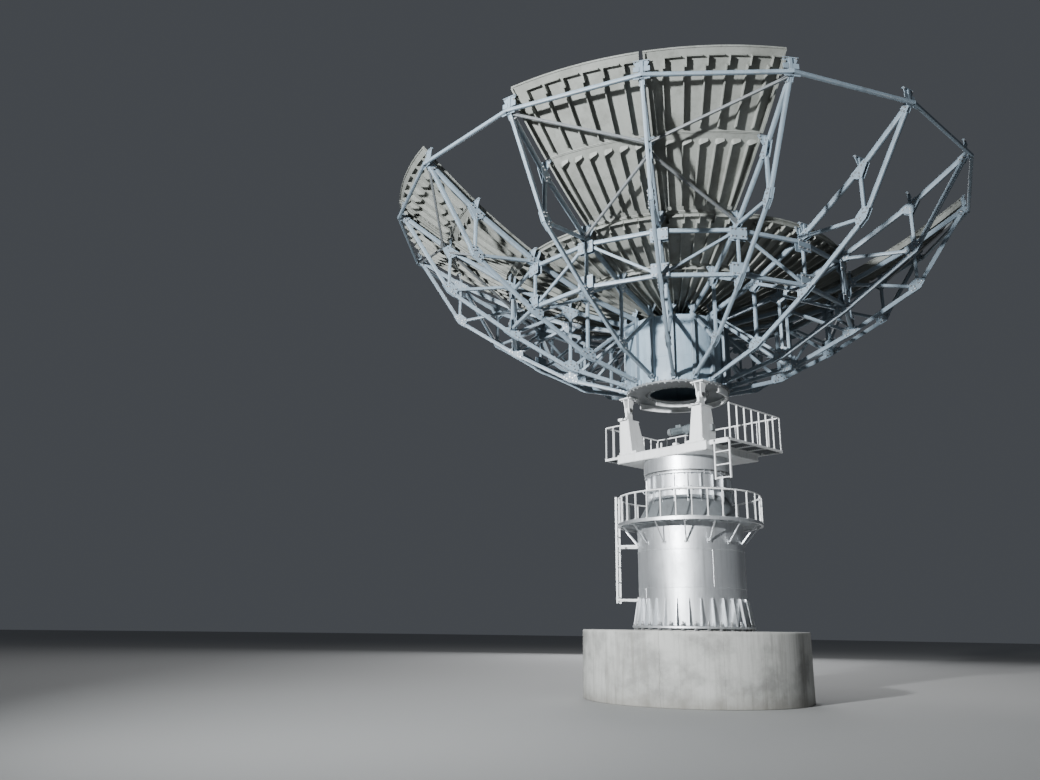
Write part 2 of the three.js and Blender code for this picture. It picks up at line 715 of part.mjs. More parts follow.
function rimRing() {
  const inner = TIP_R + (RIB_THICK / 2) * Math.tan(STEP / 2) + GAP;
  const outer = inner + RIM_BAR;
  const top = chordZ(TIP_R) - RIM_DROP;
  const foot = top - RIM_BAR;
  return turned([[inner, foot], [outer, foot], [outer, top], [inner, top]], RIBS, FIRST_RIB);
}

// The telescope
const telescope = new THREE.Group();
const yoke = new THREE.Group();
const dish = new THREE.Group();
dish.position.set(0, DISH_Y, 0);
telescope.add(yoke, dish);

const ladderPiece = piece("pedestal_ladder", pedestalLadder(), whitePaint);
ladderPiece.rotation.z = LADDER_ANGLE;
telescope.add(
  piece("plinth", plinth(), concrete),
  piece("base_flange", baseFlange(), whitePaint),
  piece("pedestal_tube", pedestalTube(), whitePaint),
  piece("pedestal_cone", pedestalCone(), greyPaint),
  piece("lower_platform", lowerPlatform(), whitePaint),
  piece("lower_railing", lowerRailing(), whitePaint),
  ladderPiece,
  piece("bearing_housing", bearingHousing(), whitePaint),
  piece("azimuth_bearing", azimuthBearing(), steel),
);

const mirrored = (body) => body.mirror([1, 0, 0]);
yoke.add(
  piece("turntable", turntable(), whitePaint),
  piece("yoke_base", yokeBase(), whitePaint),
  piece("yoke_arm_right", yokeArm(), whitePaint),
  piece("yoke_arm_left", mirrored(yokeArm()), whitePaint),
  piece("bearing_block_right", bearingBlock(), greyPaint),
  piece("bearing_block_left", mirrored(bearingBlock()), greyPaint),
  piece("elevation_gearbox", elevationGearbox(), greyPaint),
  piece("elevation_motor", elevationMotor(), greyPaint),
  piece("upper_platform", upperPlatform(), greyPaint),
  piece("upper_railing", upperRailing(), whitePaint),
  piece("hanging_ladder", hangingLadder(), whitePaint),
);

dish.add(
  piece("hub_drum", hubDrum(), hubPaint),
  piece("hub_ring", hubRing(), hubPaint),
  piece("vertex_cover", vertexCover(), panelPaint),
  piece("inner_panels_lower", panelRing(LOWER_ROW), panelPaint),
  piece("inner_panels_upper", panelRing(UPPER_ROW), panelPaint),
  piece("rim_ring", rimRing(), trussPaint),
  piece("ring_truss", ringTruss(), trussPaint),
);
for (const [name, body] of [["fork_right", trunnionFork()], ["fork_left", mirrored(trunnionFork())]]) {
  const fork = piece(name, body, greyPaint);
  fork.position.y = -DISH_Y;
  dish.add(fork);
}

const rib = ribFrame();
for (let i = 0; i < RIBS; i += 1) {
  const label = String(i + 1).padStart(2, "0");
  const fitted = PAIRS.includes(i) || PAIRS.includes(i - 1);
  const frame = piece(`rib_${label}`, fitted ? rib.add(bayBraces(i)) : rib, trussPaint);
  frame.rotation.z = FIRST_RIB + i * STEP;
  dish.add(frame);
  if (fitted) dish.add(piece(`outer_panels_${label}`, outerBay(i), panelPaint));
}

export default telescope;
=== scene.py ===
import json
from math import asin, cos, hypot, pi, radians, sin, sqrt, tan

import bpy
from mathutils import Matrix, Vector, geometry

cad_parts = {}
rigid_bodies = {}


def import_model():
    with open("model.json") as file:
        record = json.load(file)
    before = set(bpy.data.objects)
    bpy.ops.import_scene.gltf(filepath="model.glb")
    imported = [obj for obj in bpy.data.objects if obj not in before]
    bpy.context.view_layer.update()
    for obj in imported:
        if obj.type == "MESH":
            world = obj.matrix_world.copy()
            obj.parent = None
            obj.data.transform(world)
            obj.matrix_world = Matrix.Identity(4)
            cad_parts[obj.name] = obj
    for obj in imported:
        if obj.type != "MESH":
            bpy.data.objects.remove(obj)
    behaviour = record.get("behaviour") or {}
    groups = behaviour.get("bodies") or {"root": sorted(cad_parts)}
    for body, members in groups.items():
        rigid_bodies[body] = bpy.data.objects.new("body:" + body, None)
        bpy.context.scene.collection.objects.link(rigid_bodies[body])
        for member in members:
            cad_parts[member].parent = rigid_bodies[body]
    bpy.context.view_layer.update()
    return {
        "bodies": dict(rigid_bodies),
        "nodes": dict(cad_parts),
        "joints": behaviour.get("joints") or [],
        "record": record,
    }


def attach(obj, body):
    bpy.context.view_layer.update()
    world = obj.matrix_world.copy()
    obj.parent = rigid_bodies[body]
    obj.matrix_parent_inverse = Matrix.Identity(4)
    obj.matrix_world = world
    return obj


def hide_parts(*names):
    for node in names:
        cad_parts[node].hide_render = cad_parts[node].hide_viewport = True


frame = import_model()

# Sizes of the telescope in metres, as the frame has them. GAP lies between pieces that bear on each other
GAP = 0.0003
PLINTH_R = 2.13
PLINTH_TOP = 1.25
FLANGE_R = 1.165
FLANGE_FOOT = 1.29
FLANGE_TOP = 1.33
TUBE_R = 1.03
TUBE_TOP = 3.34
CONE_FOOT_R = 1.005
CONE_TOP_R = 0.765
CONE_TOP = 3.77
DECK_R = 1.415
DECK_TOP = 3.28
DECK_EDGE = 0.06
RAIL_R = 1.392
RAIL_TOP = 3.81
LADDER_ANGLE = radians(213)
NECK_TOP = 3.885
HOUSING_R = 0.8
HOUSING_FLANGE_R = 0.86
HOUSING_FLANGE = 0.03
HOUSING_RIB_R = 0.838
HOUSING_TOP = 4.215
BEARING_R = 0.825
TURN_Z = 4.245
TURNTABLE_R = 0.87
YOKE_Z = 4.52
YOKE_TOP = 4.7
YOKE_X = 1.1
YOKE_Y = 0.87
ARM_OUT = 1.02
ARM_TOP = 5.42
AXIS = Vector((0, -0.71, 5.64))
PIN_X = 0.91
PIN_R = 0.05
BLOCK_HALF = 0.03
WALK_OUT = 1.56
WALK_FRONT = -0.74
WALK_BACK = 1.02
WALK_RAIL = 0.68
DISH_Y = -0.23
BAYS = 16
STEP = 2 * pi / BAYS
FIRST_RIB = STEP / 2
CHORD_FOCUS = 3.8
CHORD_Z = 7.249
SURFACE_FOCUS = 3.68
SURFACE_Z = 7.442
PANEL_THICK = 0.04
SKIN = 0.006
HUB_R = 1.0
ROOT_R = 1.0303
INNER_R = 2.24
RING_R = 3.45
MID_R = 4.76
TIP_R = 5.81
EDGE_R = 5.85
COVER_R = 0.49
ROOT_LOW = 6.015
INNER_LOW = 6.34
RING_LOW = 7.0
KINK_Z = 7.86
HUB_RING_Z = 5.9
HUB_RING_R = 1.04
HUB_HOLE_R = 0.56
HUB_TOP = 7.3
POST_HALF = 0.034
PAIRS = (1, 4, 9, 12)
FITTED = [i for i in range(BAYS) if i in PAIRS or i - 1 in PAIRS]
FREE_INSET = 0.08
SHARED_INSET = 0.03
DISH_PLACE = Matrix.Translation((0, DISH_Y, 0))
UP = Vector((0, 0, 1))
DOWN = -UP
SMOOTH_UP_TO = radians(32)


def chord_z(radius):
    return CHORD_Z + radius ** 2 / (4 * CHORD_FOCUS)


def surface_z(radius):
    return SURFACE_Z + radius ** 2 / (4 * SURFACE_FOCUS)


def back_z(radius):
    """The height of the back of the panels' sheet."""
    return surface_z(radius) + PANEL_THICK - SKIN


def turn_z(angle):
    return Matrix.Rotation(angle, 4, "Z")


def spot(radius, angle, z):
    return Vector((radius * cos(angle), radius * sin(angle), z))


# Materials
def effect(name, inputs, outputs):
    """A shared node group with named float inputs and outputs."""
    group = bpy.data.node_groups.new(name, "ShaderNodeTree")
    for label, value in inputs:
        socket = group.interface.new_socket(label, in_out="INPUT", socket_type="NodeSocketFloat")
        socket.default_value = value
    for label in outputs:
        group.interface.new_socket(label, in_out="OUTPUT", socket_type="NodeSocketFloat")
    return group


def node(tree, kind, inputs=None, **settings):
    """Adds one node, with its settings and its inputs set or linked."""
    made = tree.nodes.new(kind)
    for key, value in settings.items():
        setattr(made, key, value)
    for key, value in (inputs or {}).items():
        if isinstance(value, bpy.types.NodeSocket):
            tree.links.new(value, made.inputs[key])
        else:
            made.inputs[key].default_value = value
    return made


def calc(tree, operation, *values):
    made = node(tree, "ShaderNodeMath", dict(enumerate(values)), operation=operation)
    return made.outputs[0]


def band(tree, value, low, high):
    """0 below low, 1 above high, smooth between."""
    inputs = {"Value": value, "From Min": low, "From Max": high}
    made = node(tree, "ShaderNodeMapRange", inputs, interpolation_type="SMOOTHSTEP")
    return made.outputs["Result"]


def noise(tree, place, scale, detail=3.0, rough=0.55):
    inputs = {"Vector": place, "Scale": scale, "Detail": detail, "Roughness": rough}
    return node(tree, "ShaderNodeTexNoise", inputs).outputs["Fac"]


def stretched(tree, scale):
    place = node(tree, "ShaderNodeTexCoord").outputs["Object"]
    return node(tree, "ShaderNodeMapping", {"Vector": place, "Scale": scale}).outputs["Vector"]


def make_weather():
    """Rain streaks that run down, broad cloudy patches, and a fine unevenness of the paint."""
    inputs = [("Size", 1.0), ("Streaks", 0.5), ("Patches", 0.5)]
    group = effect("weather", inputs, ["Streak", "Patch", "Uneven"])
    start = group.nodes.new("NodeGroupInput").outputs
    size = start["Size"]
    long = band(group, noise(group, stretched(group, (7.0, 7.0, 0.55)), size, 5.0), 0.5, 0.78)
    fine = band(group, noise(group, stretched(group, (26.0, 26.0, 1.6)), size, 2.0), 0.45, 0.8)
    streak = calc(group, "MULTIPLY_ADD", fine, 0.5, long)
    place = node(group, "ShaderNodeTexCoord").outputs["Object"]
    cloud = noise(group, place, calc(group, "MULTIPLY", size, 1.7), 6.0, 0.62)
    patch = band(group, cloud, 0.42, 0.68)
    node(group, "NodeGroupOutput", {
        "Streak": calc(group, "MULTIPLY", streak, start["Streaks"]),
        "Patch": calc(group, "MULTIPLY", patch, start["Patches"]),
        "Uneven": noise(group, place, calc(group, "MULTIPLY", size, 24.0), 4.0),
    })
    return group


def make_wear():
    """Where the edges of a piece have lost their paint: its chamfers, in broken runs."""
    group = effect("edge_wear", [("Amount", 0.5)], ["Bare"])
    start = group.nodes.new("NodeGroupInput").outputs
    edge = node(group, "ShaderNodeAttribute", attribute_name="edge").outputs["Fac"]
    place = node(group, "ShaderNodeTexCoord").outputs["Object"]
    broken = band(group, noise(group, place, 9.0, 6.0, 0.7), 0.48, 0.62)
    bare = calc(group, "MULTIPLY", calc(group, "MULTIPLY", edge, broken), start["Amount"])
    node(group, "NodeGroupOutput", {"Bare": bare})
    return group


WEATHER = make_weather()
WEAR = make_wear()


def mixed(tree, amount, below, above):
    made = node(tree, "ShaderNodeMix", {"Factor": amount}, data_type="RGBA")
    for index, value in ((6, below), (7, above)):
        if isinstance(value, bpy.types.NodeSocket):
            tree.links.new(value, made.inputs[index])
        else:
            made.inputs[index].default_value = (*value, 1)
    return made.outputs[2]


def placed(tree, group, **values):
    made = node(tree, "ShaderNodeGroup", node_tree=group)
    for label, value in values.items():
        made.inputs[label].default_value = value
    return made.outputs


def started(name):
    material = bpy.data.materials.new(name)
    material.use_nodes = True
    return material, material.node_tree, material.node_tree.nodes["Principled BSDF"]


def coated(tree, shader, colour, gloss, height, strength, distance):
    """Links a colour, a roughness and a fine relief to the shader."""
    tree.links.new(colour, shader.inputs["Base Color"])
    tree.links.new(gloss, shader.inputs["Roughness"])
    bump = node(tree, "ShaderNodeBump", {"Height": height, "Strength": strength, "Distance": distance})
    tree.links.new(bump.outputs["Normal"], shader.inputs["Normal"])


def paint(name, coat, cloud, grime, bare, rough, size, streaks, patches, wear, metallic=0.0):
    """Weathered paint: cloudy patches, grime that has run down, and worn edges."""
    material, tree, shader = started(name)
    weather = placed(tree, WEATHER, Size=size, Streaks=streaks, Patches=patches)
    edges = placed(tree, WEAR, Amount=wear)
    colour = mixed(tree, weather["Patch"], coat, cloud)
    colour = mixed(tree, weather["Streak"], colour, grime)
    colour = mixed(tree, edges["Bare"], colour, bare)
    gloss = calc(tree, "MULTIPLY_ADD", weather["Patch"], 0.16, rough)
    gloss = calc(tree, "MULTIPLY_ADD", weather["Uneven"], 0.1, gloss)
    coated(tree, shader, colour, gloss, weather["Uneven"], 0.12, 0.004)
    shader.inputs["Metallic"].default_value = metallic
    return material


def cast_concrete(name):
    """Pale cast concrete: form lines, pores, stains that run down, a damp foot and a hairline crack."""
    material, tree, shader = started(name)
    weather = placed(tree, WEATHER, Size=0.7, Streaks=0.85, Patches=1.0)
    place = node(tree, "ShaderNodeTexCoord").outputs["Object"]
    apart = node(tree, "ShaderNodeSeparateXYZ", {"Vector": place}).outputs
    around = calc(tree, "ARCTAN2", apart["Y"], apart["X"])
    wobble = noise(tree, place, 3.0, 5.0)
    foot = band(tree, calc(tree, "MULTIPLY_ADD", wobble, 0.5, apart["Z"]), 0.62, 0.2)
    lip = band(tree, calc(tree, "MULTIPLY_ADD", wobble, -0.12, apart["Z"]), 1.12, 1.2)
    board = calc(tree, "ABSOLUTE", calc(tree, "SINE", calc(tree, "MULTIPLY", around, 9.0)))
    joint = band(tree, board, 0.03, 0.0)
    drift = noise(tree, stretched(tree, (2.0, 2.0, 5.0)), 1.0, 6.0, 0.7)
    bend = calc(tree, "MULTIPLY_ADD", drift, 0.05, around)
    crack = band(tree, calc(tree, "ABSOLUTE", calc(tree, "ADD", bend, 1.185)), 0.0022, 0.0004)
    pores = node(tree, "ShaderNodeTexVoronoi", {"Vector": place, "Scale": 26.0}).outputs["Distance"]
    pits = band(tree, pores, 0.16, 0.05)
    grain = noise(tree, place, 70.0, 6.0, 0.7)
    colour = mixed(tree, weather["Patch"], (0.5, 0.5, 0.475), (0.27, 0.27, 0.255))
    stains = ((weather["Streak"], 1.0, (0.24, 0.235, 0.215)), (foot, 0.65, (0.2, 0.19, 0.165)),
              (lip, 0.35, (0.62, 0.61, 0.58)), (joint, 0.4, (0.25, 0.24, 0.22)),
              (crack, 0.6, (0.1, 0.095, 0.085)), (pits, 0.5, (0.17, 0.165, 0.15)))
    for mask, share, stain in stains:
        colour = mixed(tree, calc(tree, "MULTIPLY", mask, share), colour, stain)
    dents = calc(tree, "ADD", calc(tree, "ADD", joint, crack), calc(tree, "MULTIPLY", pits, 0.7))
    height = calc(tree, "SUBTRACT", calc(tree, "MULTIPLY", grain, 0.5), dents)
    coated(tree, shader, colour, calc(tree, "MULTIPLY_ADD", grain, 0.2, 0.75), height, 0.5, 0.006)
    return material


def bare_steel(name, colour, shade, rough, metallic):
    """Bare or zinc-plated steel with cloudy tarnish."""
    material, tree, shader = started(name)
    place = node(tree, "ShaderNodeTexCoord").outputs["Object"]
    cloud = band(tree, noise(tree, place, 12.0, 5.0, 0.65), 0.4, 0.65)
    gloss = calc(tree, "MULTIPLY_ADD", cloud, 0.2, rough)
    coated(tree, shader, mixed(tree, cloud, colour, shade), gloss, noise(tree, place, 90.0), 0.1, 0.002)
    shader.inputs["Metallic"].default_value = metallic
    return material


CONCRETE = cast_concrete("concrete_cast")
WHITE = paint("white_paint_weathered", (0.8, 0.81, 0.81), (0.7, 0.71, 0.71), (0.5, 0.5, 0.48),
              (0.3, 0.27, 0.24), rough=0.38, size=0.8, streaks=0.45, patches=0.5, wear=0.5)
SILVER = paint("silver_paint_weathered", (0.74, 0.76, 0.78), (0.63, 0.65, 0.67), (0.39, 0.4, 0.4),
               (0.3, 0.28, 0.26), rough=0.38, size=0.8, streaks=0.6, patches=0.6, wear=0.5, metallic=0.86)
MACHINE = paint("machine_paint_weathered", (0.12, 0.145, 0.155), (0.09, 0.105, 0.115), (0.05, 0.052, 0.05),
                (0.3, 0.29, 0.28), rough=0.35, size=1.4, streaks=0.4, patches=0.6, wear=0.6)
GREY = paint("grey_paint_weathered", (0.15, 0.163, 0.172), (0.12, 0.13, 0.135), (0.08, 0.08, 0.077),
             (0.25, 0.22, 0.2), rough=0.4, size=1.2, streaks=0.5, patches=0.6, wear=0.5)
TRUSS = paint("truss_paint_weathered", (0.205, 0.262, 0.312), (0.165, 0.212, 0.252), (0.11, 0.13, 0.147),
              (0.3, 0.29, 0.28), rough=0.4, size=1.1, streaks=0.5, patches=0.6, wear=0.5)
HUB = paint("hub_paint_weathered", (0.235, 0.312, 0.378), (0.178, 0.238, 0.288), (0.115, 0.145, 0.168),
            (0.3, 0.29, 0.28), rough=0.4, size=0.9, streaks=0.5, patches=0.7, wear=0.4)
PANEL = paint("panel_paint_weathered", (0.225, 0.234, 0.216), (0.165, 0.171, 0.154), (0.115, 0.116, 0.104),
              (0.5, 0.5, 0.5), rough=0.5, size=1.1, streaks=0.45, patches=1.0, wear=0.5)
ZINC = bare_steel("zinc_fasteners", (0.5, 0.51, 0.52), (0.32, 0.32, 0.32), 0.35, 0.85)
STEEL = bare_steel("machined_steel", (0.42, 0.43, 0.44), (0.24, 0.23, 0.22), 0.3, 0.9)
FINISH = {"concrete": CONCRETE, "white_paint": WHITE, "grey_paint": GREY, "truss_paint": TRUSS,
          "hub_paint": HUB, "panel_paint": PANEL, "steel": STEEL}


# Shapes
def winding(outline):
    """Above 0 where a flat outline runs anticlockwise."""
    return sum(a[0] * b[1] - b[0] * a[1] for a, b in zip(outline, outline[1:] + outline[:1]))


def turned_over(outline, marks):
    """The outline run the other way, with the marks of its sides kept on them."""
    marks = marks or [0.0] * len(outline)
    return outline[::-1], marks[-2::-1] + marks[-1:]


class Shape:
    """Closed shapes gathered into one mesh. Chamfer faces are marked as edges for the wear."""

    def __init__(self):
        self.points = []
        self.faces = []
        self.edges = []

    def add(self, points, faces, edges=None, place=None):
        start = len(self.points)
        self.points += [place @ Vector(p) if place else Vector(p) for p in points]
        self.faces += [[start + i for i in face] for face in faces]
        self.edges += edges or [0.0] * len(faces)
        return self

    def join(self, other, place=None):
        return self.add(other.points, other.faces, other.edges, place)

    def mesh(self, name, place=None):
        made = bpy.data.meshes.new(name)
        made.from_pydata([tuple(place @ p) if place else tuple(p) for p in self.points], [], self.faces)
        made.attributes.new("edge", "FLOAT", "FACE").data.foreach_set("value", self.edges)
        made.update()
        return made

    def sweep(self, profile, stations, edges=None):
        """A closed profile of (side, up) points through stations of (centre, side, up), with caps."""
        size = len(profile)
        first, side, up = stations[0]
        if winding(profile) * (stations[1][0] - first).dot(side.cross(up)) < 0:
            profile, edges = turned_over(profile, edges)
        points = []
        for centre, side, up in stations:
            points += [centre + side * a + up * b for a, b in profile]
        faces = []
        marks = []
        for i in range(len(stations) - 1):
            for j in range(size):
                k = (j + 1) % size
                faces.append([i * size + j, i * size + k, (i + 1) * size + k, (i + 1) * size + j])
                marks.append(edges[j] if edges else 0.0)
        faces.append(list(range(size))[::-1])
        faces.append([(len(stations) - 1) * size + j for j in range(size)])
        return self.add(points, faces, marks + [0.0, 0.0])

    def lathe(self, profile, sides=96, start=0.0, sweep=2 * pi, edges=None):
        """A closed profile of (radius, height) points turned about the vertical axis, its poles closed."""
        whole = sweep > 2 * pi - 1e-6
        count = sides if whole else sides + 1
        size = len(profile)
        if winding(profile) < 0:
            profile, edges = turned_over(profile, edges)
        points = []
        for i in range(count):
            angle = start + sweep * i / sides
            points += [spot(r, angle, z) for r, z in profile]
        faces = []
        marks = []
        for i in range(sides):
            n = (i + 1) % count
            for j in range(size):
                k = (j + 1) % size
                near, far = profile[j][0] == 0, profile[k][0] == 0
                if near and far:
                    continue
                face = [i * size + j, n * size + j, n * size + k, i * size + k]
                if near:
                    face = [j, n * size + k, i * size + k]
                elif far:
                    face = [i * size + j, n * size + j, k]
                faces.append(face)
                marks.append(edges[j] if edges else 0.0)
        if not whole:
            faces.append(list(range(size)))
            faces.append([(count - 1) * size + j for j in range(size)][::-1])
            marks += [0.0, 0.0]
        return self.add(points, faces, marks)

    def block(self, low, high, cut=0.004, place=None):
        """A box between two corners, with chamfered edges."""
        low, high = ([end(pair) for pair in zip(low, high)] for end in (min, max))
        points = []
        index = {}
        for corner in range(8):
            for axis in range(3):
                point = []
                for k in range(3):
                    far = corner >> k & 1
                    end = high[k] if far else low[k]
                    point.append(end if k == axis else end + (-cut if far else cut))
                index[corner, axis] = len(points)
                points.append(point)
        faces = []
        marks = []
        for axis in range(3):
            u, v = (axis + 1) % 3, (axis + 2) % 3
            for far in (0, 1):
                ring = [far << axis | a << u | b << v for a, b in ((0, 0), (1, 0), (1, 1), (0, 1))]
                face = [index[c, axis] for c in ring]
                faces.append(face if far else face[::-1])
                marks.append(0.0)
            for a in (0, 1):
                for b in (0, 1):
                    c0 = a << u | b << v
                    c1 = c0 | 1 << axis
                    face = [index[c0, u], index[c1, u], index[c1, v], index[c0, v]]
                    faces.append(face[::-1] if a == b else face)
                    marks.append(1.0)
        for corner in range(8):
            face = [index[corner, 0], index[corner, 1], index[corner, 2]]
            odd = (corner & 1) + (corner >> 1 & 1) + (corner >> 2 & 1)
            faces.append(face if odd % 2 else face[::-1])
            marks.append(1.0)
        return self.add(points, faces, marks, place)

    def prism(self, outline, low, high, place=None):
        """A flat outline raised from low to high."""
        size = len(outline)
        if winding(outline) < 0:
            outline = outline[::-1]
        points = [(x, y, low) for x, y in outline] + [(x, y, high) for x, y in outline]
        faces = [list(range(size))[::-1], list(range(size, 2 * size))]
        faces += [[i, (i + 1) % size, size + (i + 1) % size, size + i] for i in range(size)]
        return self.add(points, faces, None, place)

    def upright(self, outline, thick, place=None):
        """A flat outline in the plane of x and z, thick across y."""
        stand = (place or Matrix()) @ Matrix.Rotation(pi / 2, 4, "X")
        return self.prism(outline, -thick / 2, thick / 2, stand)

    def section(self, start, end, width, height, corner=0.008, past=0.0, up=(0, 0, 1)):
        """A closed hollow-section bar with rounded corners."""
        along = (end - start).normalized()
        up = Vector(up)
        if abs(along.dot(up)) > 0.999:
            up = Vector((1, 0, 0))
        side = up.cross(along).normalized()
        top = along.cross(side)
        w, h, c, d = width / 2, height / 2, corner, corner * 0.3
        profile = [(w, -h + c), (w, h - c), (w - d, h - d), (w - c, h), (-w + c, h), (-w + d, h - d),
                   (-w, h - c), (-w, -h + c), (-w + d, -h + d), (-w + c, -h), (w - c, -h), (w - d, -h + d)]
        marks = [0, 1, 1] * 4
        ends = [start - along * past, end + along * past]
        return self.sweep(profile, [(p, side, top) for p in ends], marks)

    def rod(self, start, end, radius, sides=16):
        along = (end - start).normalized()
        up = Vector((1, 0, 0)) if abs(along.z) > 0.9 else Vector((0, 0, 1))
        side = up.cross(along).normalized()
        top = along.cross(side)
        return self.sweep(circle(radius, sides), [(p, side, top) for p in (start, end)])


def circle(radius, sides):
    return [(radius * cos(2 * pi * i / sides), radius * sin(2 * pi * i / sides)) for i in range(sides)]


def rectangle(inner, outer, low, high):
    return [(inner, low), (outer, low), (outer, high), (inner, high)]


def bead(radius, z, half, rise):
    """The profile of a weld bead that runs round a shell."""
    low, high = radius - 0.003, radius + rise
    return [(low, z - half), (high, z - half / 2), (high, z + half / 2), (low, z + half)]


def chamfered(profile, cut):
    """The profile with its corners cut, and a mark for each face that follows a cut."""
    points = []
    marks = []
    size = len(profile)
    for i, (x, y) in enumerate(profile):
        here = Vector((x, y))
        if x == 0:
            points.append((x, y))
            marks.append(0.0)
            continue
        before = Vector(profile[i - 1])
        after = Vector(profile[(i + 1) % size])
        reach = min(cut, (before - here).length * 0.4, (after - here).length * 0.4)
        first = here + (before - here).normalized() * reach
        last = here + (after - here).normalized() * reach
        points += [tuple(first), tuple(last)]
        marks += [1.0, 0.0]
    return points, marks


def turned(profile, sides=96, cut=0.006):
    points, marks = chamfered(profile, cut)
    return Shape().lathe(points, sides, edges=marks)


def collar(inner, outer, low, high, sides=96, cut=0.006):
    """A ring of rectangular section, or a disc, with its edges cut."""
    return turned(rectangle(inner, outer, low, high), sides, cut)


def spaced(start, end, count):
    return [start + (end - start) * i / (count - 1) for i in range(count)]


# Pieces
def put(name, data):
    made = bpy.data.objects.new(name, data)
    bpy.context.scene.collection.objects.link(made)
    return made


def finished(name, mesh, body, slot, *nodes, material=None):
    """Makes a piece of a mesh, smooths it, and says what it rides on and stands for."""
    piece = put(name, mesh)
    mesh.materials.clear()
    mesh.materials.append(material or FINISH[slot])
    mesh.polygons.foreach_set("use_smooth", [True] * len(mesh.polygons))
    mesh.set_sharp_from_angle(angle=SMOOTH_UP_TO)
    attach(piece, body)
    if nodes:
        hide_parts(*nodes)
    return piece


def shaped(name, shape, body, slot, *nodes, place=None, **more):
    return finished(name, shape.mesh(name, place), body, slot, *nodes, **more)


# Geometry Nodes recipes
class Recipe:
    """A Geometry Nodes tree with named inputs that ends in Realize Instances and Set Material."""

    def __init__(self, name, sizes):
        self.tree = bpy.data.node_groups.new(name, "GeometryNodeTree")
        face = self.tree.interface
        face.new_socket("Geometry", in_out="INPUT", socket_type="NodeSocketGeometry")
        for label, value in sizes.items():
            kind = "NodeSocketInt" if isinstance(value, int) else "NodeSocketFloat"
            face.new_socket(label, in_out="INPUT", socket_type=kind).default_value = value
        face.new_socket("Material", in_out="INPUT", socket_type="NodeSocketMaterial")
        face.new_socket("Geometry", in_out="OUTPUT", socket_type="NodeSocketGeometry")
        self.start = self.tree.nodes.new("NodeGroupInput").outputs

    def add(self, kind, inputs=None, **settings):
        return node(self.tree, kind, inputs, **settings)

    def calc(self, operation, *values):
        return calc(self.tree, operation, *values)

    def vector(self, x=0.0, y=0.0, z=0.0):
        return self.add("ShaderNodeCombineXYZ", {"X": x, "Y": y, "Z": z}).outputs[0]

    def moved(self, shape, move=(0.0, 0.0, 0.0), turn=(0.0, 0.0, 0.0)):
        inputs = {"Geometry": shape, "Translation": move, "Rotation": turn}
        return self.add("GeometryNodeTransform", inputs).outputs[0]

    def rod(self, sides, radius, depth, **where):
        inputs = {"Vertices": sides, "Radius": radius, "Depth": depth}
        return self.moved(self.add("GeometryNodeMeshCylinder", inputs).outputs["Mesh"], **where)

    def cube(self, size, **where):
        return self.moved(self.add("GeometryNodeMeshCube", {"Size": size}).outputs[0], **where)

    def line(self, count, start, offset):
        inputs = {"Count": count, "Start Location": start, "Offset": offset}
        return self.add("GeometryNodeMeshLine", inputs, mode="OFFSET").outputs[0]

    def facing(self, axis, **more):
        """Turns the given axis along each point's own direction."""
        aim = self.add("GeometryNodeInputNamedAttribute", {"Name": "aim"}, data_type="FLOAT_VECTOR")
        inputs = {"Vector": aim.outputs[0]}
        return self.add("FunctionNodeAlignRotationToVector", inputs, axis=axis, **more).outputs[0]

    def copied(self, points, item, **turn):
        inputs = {"Points": points, "Instance": item, **turn}
        return self.add("GeometryNodeInstanceOnPoints", inputs).outputs[0]

    def joined(self, *parts):
        made = self.add("GeometryNodeJoinGeometry")
        for part in reversed(parts):
            self.tree.links.new(part, made.inputs[0])
        return made.outputs[0]

    def end(self, result):
        real = self.add("GeometryNodeRealizeInstances", {"Geometry": result}).outputs[0]
        inputs = {"Geometry": real, "Material": self.start["Material"]}
        coat = self.add("GeometryNodeSetMaterial", inputs)
        self.add("NodeGroupOutput", {0: coat.outputs[0]})
        return self

    def grow(self, mesh, material, place=None, **sizes):
        """Runs the tree on a mesh and returns the plain mesh that comes out."""
        holder = put(mesh.name, mesh)
        modifier = holder.modifiers.new("grow", "NODES")
        modifier.node_group = self.tree
        known = {s.name: s.identifier for s in self.tree.interface.items_tree if s.in_out == "INPUT"}
        for label, value in {**sizes, "Material": material}.items():
            modifier[known[label]] = value
        graph = bpy.context.evaluated_depsgraph_get()
        grown = bpy.data.meshes.new_from_object(holder.evaluated_get(graph))
        holder.modifiers.remove(modifier)
        bpy.data.objects.remove(holder)
        if place:
            grown.transform(place)
        return grown


def fan_recipe():
    """Copies one item about the vertical axis."""
    recipe = Recipe("fan", {"Count": 16, "Step": STEP, "Start": 0.0})
    start = recipe.start
    index = recipe.add("GeometryNodeInputIndex").outputs[0]
    angle = recipe.calc("MULTIPLY_ADD", index, start["Step"], start["Start"])
    points = recipe.add("GeometryNodePoints", {"Count": start["Count"]}).outputs[0]
    return recipe.end(recipe.copied(points, start["Geometry"], Rotation=recipe.vector(z=angle)))


